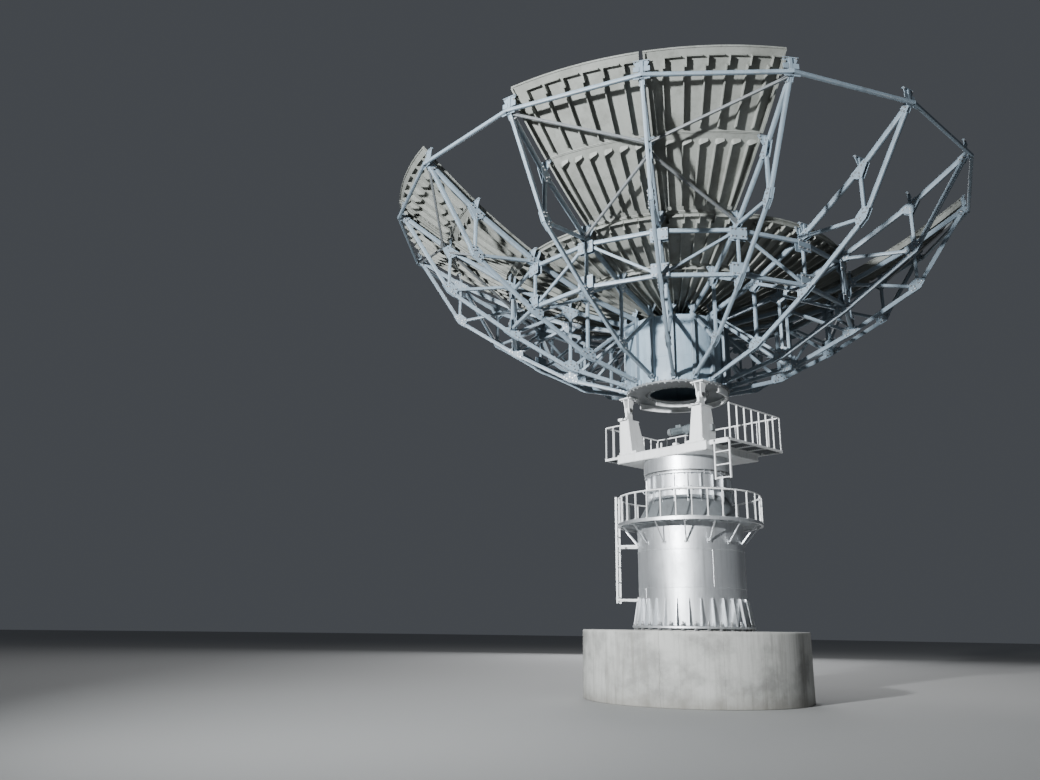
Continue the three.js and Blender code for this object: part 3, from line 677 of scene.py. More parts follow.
def fastener_recipe():
    """A hexagon head on a washer at each point, aimed along the point's own direction."""
    recipe = Recipe("fasteners", {"Head": 0.036, "Rise": 0.02, "Washer": 0.05, "Stud": 0.0})
    start = recipe.start
    flat = 0.004
    corner = recipe.calc("MULTIPLY", start["Head"], 0.5774)
    middle = recipe.calc("MULTIPLY_ADD", start["Rise"], 0.5, flat)
    head = recipe.rod(6, corner, start["Rise"], move=recipe.vector(z=middle))
    half = recipe.calc("MULTIPLY", start["Washer"], 0.5)
    washer = recipe.rod(14, half, flat, move=recipe.vector(z=flat / 2))
    depth = recipe.calc("ADD", start["Stud"], 0.002)
    above = recipe.calc("MULTIPLY_ADD", depth, 0.5, recipe.calc("ADD", start["Rise"], flat))
    thin = recipe.calc("MULTIPLY", start["Head"], 0.3)
    stud = recipe.rod(8, thin, depth, move=recipe.vector(z=above))
    whole = recipe.joined(head, washer, stud)
    return recipe.end(recipe.copied(start["Geometry"], whole, Rotation=recipe.facing("Z")))


def railing_recipe():
    """Flat posts with feet at the points of a path, and a round handrail along it."""
    recipe = Recipe("railing", {"Height": 0.5, "Post": 0.03, "Rail": 0.017})
    start = recipe.start
    tall = recipe.calc("SUBTRACT", start["Height"], start["Rail"])
    curve = recipe.add("GeometryNodeMeshToCurve", {"Mesh": start["Geometry"]}).outputs[0]
    ring = recipe.add("GeometryNodeCurvePrimitiveCircle", {"Resolution": 12, "Radius": start["Rail"]})
    inputs = {"Curve": curve, "Profile Curve": ring.outputs[0], "Fill Caps": True}
    tube = recipe.add("GeometryNodeCurveToMesh", inputs).outputs[0]
    rail = recipe.moved(tube, recipe.vector(z=tall))
    thick, wide, long = (recipe.calc("MULTIPLY", start["Post"], share) for share in (0.5, 1.9, 1.5))
    middle = recipe.calc("MULTIPLY", tall, 0.5)
    post = recipe.cube(recipe.vector(start["Post"], thick, tall), move=recipe.vector(z=middle))
    foot = recipe.cube(recipe.vector(wide, long, 0.008), move=(0.0, 0.0, 0.004))
    turn = recipe.facing("X", pivot_axis="Z")
    posts = recipe.copied(start["Geometry"], recipe.joined(post, foot), Rotation=turn)
    return recipe.end(recipe.joined(rail, posts))


def ladder_recipe():
    """Two flat rails with round rungs between them, from its own middle upwards."""
    recipe = Recipe("ladder", {"Width": 0.4, "Tall": 2.0, "First": 0.1, "Pitch": 0.3, "Rungs": 7})
    start = recipe.start
    size = recipe.vector(0.04, 0.024, start["Tall"])
    middle = recipe.calc("MULTIPLY", start["Tall"], 0.5)
    sides = []
    for share in (0.5, -0.5):
        y = recipe.calc("MULTIPLY", start["Width"], share)
        sides.append(recipe.cube(size, move=recipe.vector(y=y, z=middle)))
    line = recipe.line(start["Rungs"], recipe.vector(z=start["First"]), recipe.vector(z=start["Pitch"]))
    length = recipe.calc("ADD", start["Width"], 0.03)
    rung = recipe.rod(12, 0.0125, length, turn=(pi / 2, 0.0, 0.0))
    return recipe.end(recipe.joined(start["Geometry"], *sides, recipe.copied(line, rung)))


def grating_recipe():
    """Bearing bars side by side across a frame, with thin cross bars through them."""
    sizes = {"Width": 1.0, "Length": 1.0, "Pitch": 0.05, "Deep": 0.035, "Cross": 0.12}
    recipe = Recipe("grating", sizes)
    start = recipe.start
    parts = []
    for axis, other, across, along, pitch, thick, deep in (
            ("x", "y", "Width", "Length", "Pitch", 0.006, start["Deep"]),
            ("y", "x", "Length", "Width", "Cross", 0.008, 0.012)):
        count = recipe.calc("FLOOR", recipe.calc("DIVIDE", start[across], start[pitch]))
        offset = recipe.calc("DIVIDE", start[across], count)
        edge = recipe.calc("MULTIPLY", start[across], -0.5)
        first = recipe.calc("MULTIPLY_ADD", offset, 0.5, edge)
        line = recipe.line(count, recipe.vector(**{axis: first}), recipe.vector(**{axis: offset}))
        size = recipe.vector(**{axis: thick, other: start[along], "z": deep})
        bar = recipe.cube(size, move=recipe.vector(z=recipe.calc("MULTIPLY", deep, -0.5)))
        parts.append(recipe.copied(line, bar))
    return recipe.end(recipe.joined(*parts))


FAN = fan_recipe()
FASTENERS = fastener_recipe()
RAILING = railing_recipe()
LADDER = ladder_recipe()
GRATING = grating_recipe()


def fanned(name, shape, body, slot, count, *nodes, start=0.0, step=None, place=None, **more):
    """Copies a shape about the vertical axis and makes one piece of the copies."""
    material = more.get("material") or FINISH[slot]
    step = 2 * pi / count if step is None else step
    grown = FAN.grow(shape.mesh(name), material, place, Count=count, Step=step, Start=start)
    return finished(name, grown, body, slot, *nodes, **more)


def aimed_mesh(name, points, edges=()):
    """A mesh of (place, direction) points that carry their directions."""
    mesh = bpy.data.meshes.new(name)
    mesh.from_pydata([tuple(place) for place, _ in points], edges, [])
    flat = [c for _, aim in points for c in aim]
    mesh.attributes.new("aim", "FLOAT_VECTOR", "POINT").data.foreach_set("vector", flat)
    return mesh


def bolted(name, points, body, head=0.036, rise=0.02, stud=0.0, place=None):
    """Hexagon heads on washers at (place, direction) points."""
    mesh = aimed_mesh(name, points)
    grown = FASTENERS.grow(mesh, ZINC, place, Head=head, Rise=rise, Washer=head * 1.5, Stud=stud)
    return finished(name, grown, body, "steel", material=ZINC)


def railed(name, points, body, node_name, height, post):
    """A railing along a path of (place, direction) points."""
    mesh = aimed_mesh(name, points, [(i, i + 1) for i in range(len(points) - 1)])
    grown = RAILING.grow(mesh, WHITE, Height=height, Post=post, Rail=0.0155)
    finished(name, grown, body, "white_paint", node_name)


def climbed(name, fixings, place, body, node_name, **sizes):
    """A ladder with the fixings that hold it."""
    grown = LADDER.grow(fixings.mesh(name), WHITE, place, **sizes)
    finished(name, grown, body, "white_paint", node_name)


def bolt_circle(radius, z, count, start=0.0, aim=UP):
    return [(spot(radius, start + i * 2 * pi / count, z), aim) for i in range(count)]


# Plinth
def make_plinth():
    lip = 0.03
    profile = [(0, 0), (PLINTH_R - 0.01, 0), (PLINTH_R, 0.01)]
    for angle in spaced(0, pi / 2, 7):
        profile.append((PLINTH_R - lip + lip * cos(angle), PLINTH_TOP - lip + lip * sin(angle)))
    profile.append((0, PLINTH_TOP))
    shaped("plinth_cast", Shape().lathe(profile, 160), "pedestal", "concrete", "plinth")
    inner, low, high = TUBE_R - 0.1, PLINTH_TOP - 0.005, PLINTH_TOP + 0.012
    outline = [(inner, low), (FLANGE_R - 0.08, low), (FLANGE_R - 0.1, high), (inner, high)]
    shaped("plinth_grout", turned(outline, 96, 0.004), "pedestal", "concrete")


# Foot flange with its gussets, anchor studs and levelling nuts
def make_base_flange():
    ring = collar(TUBE_R - 0.02, FLANGE_R, FLANGE_FOOT, FLANGE_TOP, 120, 0.004)
    wall, sheet, leg = TUBE_R - 0.004, FLANGE_TOP - 0.004, 0.02
    ring.join(turned([(wall, sheet), (wall + leg, sheet), (wall, sheet + leg)], 120, 0.002))
    shaped("foot_flange", ring, "pedestal", "white_paint", "base_flange", material=SILVER)
    inner, outer, low, high = TUBE_R - 0.01, FLANGE_R - 0.022, FLANGE_TOP - 0.005, FLANGE_TOP + 0.5
    outline = [(inner, low), (outer, low), (outer, FLANGE_TOP + 0.03), (TUBE_R + 0.032, high), (inner, high)]
    gusset = Shape().upright(outline, 0.016)
    fanned("foot_gussets", gusset, "pedestal", "white_paint", 30, start=radians(3), material=SILVER)
    stud_r = 1.11
    first = radians(9)
    low, high = (Vector((stud_r, 0, z)) for z in (PLINTH_TOP - 0.02, FLANGE_TOP + 0.085))
    stud = Shape().rod(low, high, 0.017, 12)
    fanned("anchor_studs", stud, "pedestal", "steel", 30, start=first, material=ZINC)
    bolted("anchor_nuts", bolt_circle(stud_r, FLANGE_TOP, 30, first), "pedestal", 0.058, 0.032)
    under = bolt_circle(stud_r, FLANGE_FOOT, 30, first, DOWN)
    bolted("levelling_nuts", under, "pedestal", 0.06, 0.032)


# Pedestal tube and cone
def make_pedestal():
    shell = collar(0, TUBE_R, FLANGE_FOOT, TUBE_TOP, 128)
    for z in (2.02, 2.72):
        shell.lathe(bead(TUBE_R, z, 0.012, 0.004), 128)
    for angle, low, high in ((250, 1.36, 2.02), (330, 2.02, 2.72), (285, 2.72, 3.2)):
        shell.add(*seam_strip(TUBE_R, radians(angle), low, high))
    shell.join(collar(TUBE_R - 0.02, TUBE_R + 0.018, TUBE_TOP - 0.03, TUBE_TOP, 128, 0.004))
    shaped("pedestal_shell", shell, "pedestal", "white_paint", "pedestal_tube", material=SILVER)
    foot = TUBE_TOP + GAP
    cone = turned([(0, foot), (CONE_FOOT_R, foot), (CONE_TOP_R, CONE_TOP), (0, CONE_TOP)], 128, 0.004)
    shaped("pedestal_taper", cone, "pedestal", "grey_paint", "pedestal_cone")


def seam_strip(radius, angle, low, high):
    """A weld bead that runs up a round shell."""
    width = 0.012 / radius
    points = []
    for z in (low, high):
        for rise, share in ((-0.003, -1), (0.0025, -0.5), (0.0025, 0.5), (-0.003, 1)):
            points.append(spot(radius + rise, angle + width * share, z))
    faces = [[0, 3, 2, 1], [4, 5, 6, 7], [0, 1, 5, 4], [1, 2, 6, 5], [2, 3, 7, 6], [3, 0, 4, 7]]
    return points, faces


# Lower platform, its knee braces and its railing
def make_lower_platform():
    wall, end, sheet, foot = TUBE_R - 0.01, DECK_R - 0.014, DECK_TOP - 0.012, DECK_TOP - DECK_EDGE
    deck = collar(wall, DECK_R - 0.02, sheet, DECK_TOP, 120, 0.002)
    back, face, step = DECK_R - 0.05, DECK_R - 0.012, foot + 0.01
    deck.join(turned([(back, foot), (DECK_R, foot), (DECK_R, DECK_TOP), (face, DECK_TOP), (face, step),
                      (back, step)], 120, 0.002))
    deck.join(collar(wall, TUBE_R + 0.012, DECK_TOP - 0.055, sheet, 120, 0.002))
    shaped("lower_deck", deck, "pedestal", "white_paint", "lower_platform", material=SILVER)
    flange = DECK_TOP - 0.05
    joist = Shape().block((TUBE_R, -0.004, flange), (end, 0.004, sheet), 0.001)
    joist.block((TUBE_R + 0.02, -0.004, flange - 0.006), (end, 0.036, flange), 0.001)
    fanned("lower_deck_joists", joist, "pedestal", "white_paint", 30, start=radians(3), material=SILVER)
    low = Vector((TUBE_R + 0.008, 0, DECK_TOP - 0.425))
    high = Vector((DECK_R - 0.07, 0, DECK_TOP - 0.055))
    along = (high - low).normalized()
    across = Vector((0, 1, 0))
    up = along.cross(across)
    leg, inside = 0.012, -0.008
    angle_bar = [(-leg, -leg), (leg, -leg), (leg, inside), (inside, inside), (inside, leg), (-leg, leg)]
    knee = Shape().sweep(angle_bar, [(low - along * 0.014, across, up), (high, across, up)])
    knee.block((wall, -0.04, low.z - 0.03), (low.x, 0.04, low.z + 0.03), 0.002)
    knee.block((DECK_R - 0.115, -0.022, DECK_TOP - 0.064), (DECK_R - 0.03, -0.014, sheet), 0.001)
    fanned("lower_deck_knees", knee, "pedestal", "white_paint", 15, start=radians(15), material=SILVER)
    feet = []
    for angle in range(15, 375, 24):
        for side in (-1, 1):
            at = spot(low.x, radians(angle + side * 1.7), low.z)
            feet.append((at, spot(1, radians(angle), 0)))
    bolted("knee_bolts", feet, "pedestal", 0.02, 0.012)


def make_lower_railing():
    gate = 0.45 / 2 / RAIL_R
    first = LADDER_ANGLE + gate
    span = 2 * pi - 2 * gate
    turns = [(radians(9 + 12 * i) - first) % (2 * pi) for i in range(30)]
    inner = [turn for turn in turns if 0.02 < turn < span - 0.02]
    turns = sorted(round(turn, 5) for turn in [0.0, *inner, span])
    points = [(spot(RAIL_R, first + turn, DECK_TOP), spot(1, first + turn, 0)) for turn in turns]
    railed("lower_rail_bars", points, "pedestal", "lower_railing", RAIL_TOP - DECK_TOP, 0.03)


# Pedestal ladder
def make_pedestal_ladder():
    out = DECK_R + 0.02 + GAP
    wall = TUBE_R - out
    feet = Shape()
    for y in (-0.2, 0.2):
        for z in (0.06, 1.1):
            feet.section(Vector((wall - 0.004, y, z)), Vector((0, y, z)), 0.03, 0.04, 0.004)
            feet.block((wall - 0.02, y - 0.04, z - 0.05), (wall + 0.004, y + 0.04, z + 0.05), 0.002)
    place = turn_z(LADDER_ANGLE) @ Matrix.Translation((out, 0, 1.75))
    climbed("pedestal_climb", feet, place, "pedestal", "pedestal_ladder",
            Width=0.4, Tall=2.08, First=0.11, Pitch=0.3, Rungs=7)


# Bearing housing, azimuth bearing and turntable
def make_housing():
    waist = NECK_TOP + HOUSING_FLANGE
    low = HOUSING_TOP - HOUSING_FLANGE
    edge = HOUSING_FLANGE_R
    drum = turned([(0, CONE_TOP), (CONE_TOP_R, CONE_TOP), (CONE_TOP_R, NECK_TOP), (edge, NECK_TOP),
                   (edge, waist), (HOUSING_R, waist), (HOUSING_R, low), (edge, low), (edge, HOUSING_TOP),
                   (0, HOUSING_TOP)], 120, 0.003)
    shaped("bearing_drum", drum, "pedestal", "white_paint", "bearing_housing", material=SILVER)
    slope = (CONE_FOOT_R - CONE_TOP_R) / (CONE_TOP - TUBE_TOP)
    foot = CONE_TOP - (HOUSING_RIB_R - CONE_TOP_R) / slope - 0.006
    wall, head = CONE_TOP_R - 0.01, NECK_TOP + 0.002
    outline = [(HOUSING_RIB_R, foot), (HOUSING_RIB_R, head), (wall, head), (wall, CONE_TOP - 0.006)]
    rib = Shape().upright(outline, 0.014)
    rib.upright(rectangle(HOUSING_R - 0.01, HOUSING_RIB_R, waist - 0.002, low + 0.002), 0.014)
    fanned("bearing_drum_ribs", rib, "pedestal", "white_paint", 20, material=SILVER)
    bolts = []
    rows = ((0.018, HOUSING_TOP, UP), (0.012, low, DOWN), (0.012, waist, UP), (0.018, NECK_TOP, DOWN))
    for inset, z, aim in rows:
        bolts += bolt_circle(edge - inset, z, 40, radians(4.5), aim)
    bolted("bearing_drum_bolts", bolts, "pedestal", 0.022, 0.012)
    eyes = Shape()
    for place in (radians(234), radians(354), radians(114)):
        middle = spot(edge + 0.03, place, NECK_TOP + 0.012)
        arc = []
        for turn in range(-200, 21, 22):
            way = spot(1, place, 0) * cos(radians(turn)) + UP * sin(radians(turn))
            arc.append((middle + way * 0.036, way, spot(1, place + pi / 2, 0)))
        eyes.sweep(circle(0.009, 10), arc)
    shaped("lifting_eyes", eyes, "pedestal", "white_paint", material=SILVER)


def make_bearing():
    ring = collar(0.64, BEARING_R, HOUSING_TOP + GAP, TURN_Z - GAP, 120)
    shaped("azimuth_ring", ring, "pedestal", "steel", "azimuth_bearing")
    table = collar(0, TURNTABLE_R, TURN_Z, YOKE_Z - GAP, 120)
    low, high = TURN_Z + 0.04, YOKE_Z - 0.03
    for z in (low, high):
        table.lathe(bead(TURNTABLE_R, z, 0.008, 0.003), 120)
    table.add(*seam_strip(TURNTABLE_R, radians(300), low, high))
    shaped("turntable_drum", table, "yoke", "white_paint", "turntable", material=SILVER)


# Yoke
def make_yoke():
    front = -YOKE_Y
    base = Shape().block((-YOKE_X, front, YOKE_Z), (YOKE_X, YOKE_Y, YOKE_TOP), 0.008)
    x, y = YOKE_X + 0.006, YOKE_Y + 0.006
    for z in (YOKE_Z + 0.018, YOKE_TOP - 0.018):
        base.block((-x, -y, z - 0.006), (x, y, z + 0.006), 0.003)
    shaped("yoke_beam", base, "yoke", "white_paint", "yoke_base")
    for side, name in ((1, "right"), (-1, "left")):
        foot = arm_ring(YOKE_TOP + GAP, 0.31, 0.47, side)
        head = arm_ring(ARM_TOP, 0.22, 0.33, side)
        size = len(foot)
        faces = [[i, (i + 1) % size, size + (i + 1) % size, size + i] for i in range(size)]
        faces += [list(range(size))[::-1], list(range(size, 2 * size))]
        if side < 0:
            faces = [face[::-1] for face in faces]
        arm = Shape().add(foot + head, faces, [float(i % 2 == 0) for i in range(size)] + [0.0, 0.0])
        arm.block((side * (ARM_OUT + 0.03), front + 0.004, YOKE_TOP),
                  (side * (ARM_OUT - 0.41), front + 0.52, YOKE_TOP + 0.045), 0.004)
        arm.block((side * (ARM_OUT + 0.012), front, ARM_TOP - 0.025),
                  (side * (ARM_OUT - 0.232), front + 0.342, ARM_TOP), 0.003)
        shaped("yoke_post_" + name, arm, "yoke", "white_paint", "yoke_arm_" + name)
    cover = Shape().block((ARM_OUT - 0.002, -0.6, 4.93), (ARM_OUT + 0.05, -0.5, 5.06), 0.006)
    shaped("yoke_post_covers", cover, "yoke", "grey_paint")
    points = []
    for side in (-1, 1):
        for inset in (0.36, 0.26, 0.15, 0.04):
            points.append((Vector((side * (ARM_OUT - inset), front + 0.495, YOKE_TOP + 0.045)), UP))
    bolted("yoke_cover_bolts", points, "yoke", 0.016, 0.01)
    items = Shape()
    for x in (-0.12, -0.02):
        items.block((x - 0.015, -0.8, YOKE_TOP), (x + 0.015, -0.77, YOKE_TOP + 0.12), 0.004)
    items.block((0.26, -0.8, YOKE_TOP), (0.36, -0.7, YOKE_TOP + 0.07), 0.006)
    shaped("yoke_deck_boxes", items, "yoke", "white_paint")


def arm_ring(z, width, depth, side):
    """One level of a yoke arm, with its corners cut."""
    cut = 0.012
    front, back, inside = -YOKE_Y, depth - YOKE_Y, ARM_OUT - width
    outline = ((ARM_OUT, front), (ARM_OUT, back), (inside, back), (inside, front))
    corners = [Vector(corner) for corner in outline]
    ring = []
    for i, corner in enumerate(corners):
        for other in (corners[i - 1], corners[(i + 1) % 4]):
            point = corner + (other - corner).normalized() * cut
            ring.append(Vector((side * point.x, point.y, z)))
    return ring


def on_pin(side):
    """Places a shape turned about Z so that it turns about the elevation axis."""
    return Matrix.Translation((side * PIN_X, AXIS.y, AXIS.z)) @ Matrix.Rotation(pi / 2, 4, "Y")


def make_elevation_bearings():
    seat = ARM_TOP + GAP
    low = ARM_TOP + 0.03 - AXIS.z
    crown = [(0.076 * cos(angle), 0.076 * sin(angle)) for angle in spaced(0, pi, 25)]
    top = HUB_RING_Z - GAP
    eye = PIN_R + 0.012
    levels = [(0.066, top - 0.015, 0.09), (0.066, top - 0.045, 0.085), (0.049, AXIS.z + 0.1, 0.066)]
    for drop in (0.0, 0.03, 0.045, 0.055, 0.061):
        levels.append((0.049, AXIS.z - drop, sqrt(eye ** 2 - drop ** 2)))
    front = AXIS.y - 0.15
    lugs = {"right": ((0.72, front, ARM_TOP - 0.03), (0.81, AXIS.y + 0.02, ARM_TOP - 0.012)),
            "left": ((-PIN_X - 0.17, front, seat), (-PIN_X - 0.05, front + 0.008, ARM_TOP + 0.05))}
    for side, name in ((1, "right"), (-1, "left")):
        x = side * PIN_X
        block = Shape().block((x - BLOCK_HALF, AXIS.y - 0.14, seat),
                              (x + BLOCK_HALF, AXIS.y + 0.14, ARM_TOP + 0.035), 0.004)
        turn = Matrix.Translation((x, AXIS.y, AXIS.z)) @ turn_z(pi / 2)
        block.upright([(-0.09, low), (0.09, low), *crown], 2 * BLOCK_HALF - 0.008, turn)
        block.join(collar(PIN_R + 0.001, 0.066, -BLOCK_HALF, BLOCK_HALF, 48, 0.003), on_pin(side))
        shaped("pillow_block_" + name, block, "yoke", "grey_paint", "bearing_block_" + name,
               material=WHITE)
        plate = 0.026
        fork = Shape().block((x - 0.15, AXIS.y - 0.12, top - plate), (x + 0.15, AXIS.y + 0.12, top), 0.004)
        for end in (-1, 1):
            stations = [(Vector((x + end * out, AXIS.y, z)), Vector((1, 0, 0)), Vector((0, wide, 0)))
                        for out, z, wide in levels]
            fork.sweep(rectangle(-0.011, 0.011, -1, 1), stations)
        shaped("trunnion_" + name, fork, "dish", "grey_paint", "fork_" + name, material=WHITE)
        pin = collar(0, PIN_R - 0.001, -0.068, 0.068, 40, 0.005)
        shaped("elevation_pin_" + name, pin, "dish", "steel", place=on_pin(side))
        low_corner, high_corner = lugs[name]
        shaped("arm_lug_" + name, Shape().block(low_corner, high_corner, 0.002), "yoke", "white_paint")
    feet = []
    heads = []
    for x in (-PIN_X, PIN_X):
        for b in (-0.115, 0.115):
            feet.append((Vector((x, AXIS.y + b, ARM_TOP + 0.035)), UP))
            for a in (-0.08, 0.08):
                heads.append((Vector((x + b, AXIS.y + a, top - plate)), DOWN))
    bolted("pillow_block_bolts", feet, "yoke", 0.03, 0.018, 0.012)
    bolted("trunnion_bolts", heads, "dish", 0.03, 0.018, 0.012)


# Elevation drive
DRIVE = Vector((0, -0.64, 5.03))


def make_drive():
    lie = Matrix.Translation(DRIVE) @ Matrix.Rotation(pi / 2, 4, "Y")
    outline = [(0, 0.47), (0.088, 0.47), (0.088, 0.7), (0.11, 0.7), (0.11, 0.735), (0, 0.735)]
    box = turned(outline, 56, 0.005)
    box.join(collar(0.08, 0.1, 0.56, 0.59, 56, 0.004))
    box.block((-0.06, -0.05, 0.5), (0.115, 0.05, 0.55), 0.006)
    box.join(collar(0, 0.1, 0.73, 0.775, 56, 0.003))
    shaped("elevation_reducer", box, "yoke", "grey_paint", "elevation_gearbox", place=lie, material=MACHINE)
    outline = [(0, 0.062), (0.05, 0.062), (0.074, 0.078), (0.08, 0.1), (0.08, 0.152), (0, 0.152)]
    shaped("elevation_motor_cap", turned(outline, 56, 0.004), "yoke", "grey_paint", place=lie)
    outline = [(0, 0.145), (0.062, 0.145), (0.062, 0.455), (0.085, 0.455), (0.085, 0.472), (0, 0.472)]
    motor = turned(outline, 56, 0.003)
    motor.block((-0.115, -0.045, 0.26), (-0.055, 0.045, 0.38), 0.006)
    shaped("elevation_motor_body", motor, "yoke", "grey_paint", "elevation_motor", place=lie,
           material=MACHINE)
    fin = Shape().block((0.055, -0.0025, 0.16), (0.074, 0.0025, 0.45), 0.0008)
    fanned("elevation_motor_fins", fin, "yoke", "grey_paint", 32, place=lie, material=MACHINE)
    heads = []
    for radius, z, count, first in ((0.098, 0.7, 8, 0.0), (0.076, 0.455, 4, pi / 4)):
        heads += bolt_circle(radius, z, count, first, DOWN)
    bolted("elevation_drive_bolts", heads, "yoke", 0.016, 0.01, place=lie)


# Upper platform, its railing and its hanging ladder
def make_upper_platform():
    x = YOKE_X + GAP
    corners = [(WALK_OUT, WALK_FRONT), (WALK_OUT, WALK_BACK), (-WALK_OUT, WALK_BACK),
               (-WALK_OUT, WALK_FRONT), (-x, WALK_FRONT), (-x, YOKE_Y), (x, YOKE_Y), (x, WALK_FRONT)]
    inward = [(-1, 1), (-1, -1), (1, -1), (1, 1), (-1, 1), (-1, 1), (1, 1), (1, 1)]
    half = 0.011
    ring = []
    for (x, y), (dx, dy) in zip(corners, inward):
        ring.append(Vector((x + half * dx, y + half * dy, YOKE_TOP - 0.025)))
    frame = Shape()
    for i, start in enumerate(ring):
        frame.section(start, ring[(i + 1) % 8], 0.02, 0.05, 0.003, half)
    wide, long = WALK_OUT - YOKE_X, YOKE_Y - WALK_FRONT
    decks = [(side * (WALK_OUT + YOKE_X) / 2, (WALK_FRONT + YOKE_Y) / 2, wide, long) for side in (-1, 1)]
    decks.append((0, (WALK_BACK + YOKE_Y) / 2, 2 * WALK_OUT, WALK_BACK - YOKE_Y))
    for x, y, wide, long in decks:
        count = max(2, round(max(wide, long) / 0.4))
        run, reach = (wide, 0), (0, long / 2)
        if wide < long:
            run, reach = (0, long), (wide / 2, 0)
        for i in range(1, count):
            share = i / count - 0.5
            middle = Vector((x + share * run[0], y + share * run[1], YOKE_TOP - 0.03))
            half_bar = Vector((*reach, 0))
            frame.section(middle - half_bar, middle + half_bar, 0.014, 0.038, 0.003)
    shaped("upper_deck_frame", frame, "yoke", "white_paint", "upper_platform")
    for i, (x, y, wide, long) in enumerate(decks):
        base = bpy.data.meshes.new("upper_deck_grating")
        place = Matrix.Translation((x, y, YOKE_TOP))
        grown = GRATING.grow(base, GREY, place, Width=wide - 0.04, Length=long - 0.02, Pitch=0.04,
                             Deep=0.03, Cross=0.1)
        finished("upper_deck_grating_%d" % (i + 1), grown, "yoke", "grey_paint")


def make_upper_railing():
    edge, front, back = WALK_OUT - 0.02, WALK_FRONT + 0.02, WALK_BACK - 0.02
    path = ((-YOKE_X - 0.04, front), (-edge, front), (-edge, back), (edge, back), (edge, front))
    corners = [Vector((x, y, YOKE_TOP)) for x, y in path]
    points = []
    for i, (start, end) in enumerate(zip(corners, corners[1:])):
        count = round((end - start).length / 0.25)
        across = (end - start).cross(UP).normalized()
        for j in range(min(i, 1), count + 1):
            points.append((start.lerp(end, j / count), across))
    railed("upper_rail_bars", points, "yoke", "upper_railing", WALK_RAIL, 0.028)


def make_hanging_ladder():
    hooks = Shape()
    for y in (-0.165, 0.165):
        hooks.block((-0.02, y - 0.012, 0.71), (0.04, y + 0.012, 0.755), 0.002)
    place = Matrix.Translation((YOKE_X + 0.28, WALK_FRONT - 0.02 - GAP, 3.945)) @ turn_z(pi / 2)
    climbed("hanging_climb", hooks, place, "yoke", "hanging_ladder",
            Width=0.33, Tall=0.755, First=0.025, Pitch=0.245, Rungs=3)
    lip = Shape().block((YOKE_X + GAP, WALK_FRONT - 0.016, YOKE_TOP - 0.075),
                        (WALK_OUT - 0.06, WALK_FRONT, YOKE_TOP + 0.012), 0.003)
    shaped("hanging_climb_edge", lip, "yoke", "white_paint")


# Dish hub
def make_hub():
    foot = HUB_RING_Z + 0.04 + GAP
    under, wall, bore = HUB_TOP - 0.03, HUB_R - 0.03, COVER_R - 0.012
    shell = turned([(0, under), (wall, under), (wall, foot), (HUB_R, foot), (HUB_R, HUB_TOP),
                    (COVER_R, HUB_TOP), (COVER_R, SURFACE_Z), (bore, SURFACE_Z), (bore, HUB_TOP),
                    (0, HUB_TOP)], 128, 0.004)
    for z in (6.45, 6.98):
        shell.lathe(bead(HUB_R, z, 0.01, 0.0035), 128)
    shaped("hub_shell", shell, "dish", "hub_paint", "hub_drum", place=DISH_PLACE)
    ring = collar(HUB_HOLE_R, HUB_RING_R, HUB_RING_Z, foot - GAP, 128, 0.005)
    shaped("hub_flange", ring, "dish", "hub_paint", "hub_ring", place=DISH_PLACE, material=GREY)
    head, skirt = HUB_RING_Z + 0.01, HUB_RING_Z - 0.13
    # Lips at the hole and round the skirt, on the far half only, in white paint: a painted highlight for the
    # lit crescents along their lower edges.
    lips = Shape()
    for profile in (rectangle(HUB_HOLE_R - 0.004, HUB_HOLE_R + 0.012, HUB_RING_Z - 0.11, head),
                    rectangle(HUB_R - 0.014, HUB_R, skirt, head),
                    rectangle(HUB_R - 0.05, HUB_R - 0.005, skirt, skirt + 0.012)):
        lips.lathe(profile, 72, 0.0, pi)
    shaped("hub_flange_lips", lips, "dish", "hub_paint", place=DISH_PLACE, material=WHITE)
    clip = Shape()
    for side in (-1, 1):
        clip.block((HUB_R, side * 0.034, foot - 0.002), (HUB_R + 0.038, side * 0.085, foot + 0.1), 0.003)
        clip.block((HUB_R - 0.002, side * 0.031, 7.16), (HUB_R + 0.012, side * 0.062, 7.3), 0.002)
    fanned("rib_foot_clips", clip, "dish", "hub_paint", BAYS, start=FIRST_RIB, place=DISH_PLACE)
    rings = bolt_circle(1.022, foot, 64, 0.035)
    rings += bolt_circle(0.63, HUB_RING_Z, 40, 0.0, DOWN)
    rings += bolt_circle(1.02, HUB_RING_Z, 48, 0.03, DOWN)
    bolted("hub_flange_bolts", rings, "dish", 0.024, 0.014, place=DISH_PLACE)
    face = SURFACE_Z + PANEL_THICK
    cover = turned([(0, SURFACE_Z), (COVER_R, SURFACE_Z), (COVER_R, face - 0.006), (COVER_R - 0.02, face),
                    (0, face)], 96, 0.002)
    cover.join(collar(0, 0.12, face - 0.002, face + 0.012, 64, 0.004))
    shaped("vertex_plate", cover, "dish", "panel_paint", "vertex_cover", place=DISH_PLACE)
    screws = bolt_circle(COVER_R - 0.05, face, 24) + bolt_circle(0.095, face + 0.012, 8)
    bolted("vertex_screws", screws, "dish", 0.016, 0.008, place=DISH_PLACE)


# Ribs
TOP_NODES = [Vector((r, 0, chord_z(r))) for r in (ROOT_R, INNER_R, RING_R, MID_R, TIP_R - 0.045)]
LOW_NODES = [Vector((ROOT_R, 0, ROOT_LOW)), Vector((INNER_R, 0, INNER_LOW)), Vector((RING_R, 0, RING_LOW)),
             Vector((MID_R, 0, KINK_Z)), TOP_NODES[-1]]
WEBS = [(TOP_NODES[1], LOW_NODES[1]), (TOP_NODES[3], LOW_NODES[3]), (LOW_NODES[1], TOP_NODES[0]),
        (LOW_NODES[2], TOP_NODES[1]), (LOW_NODES[3], TOP_NODES[2])]


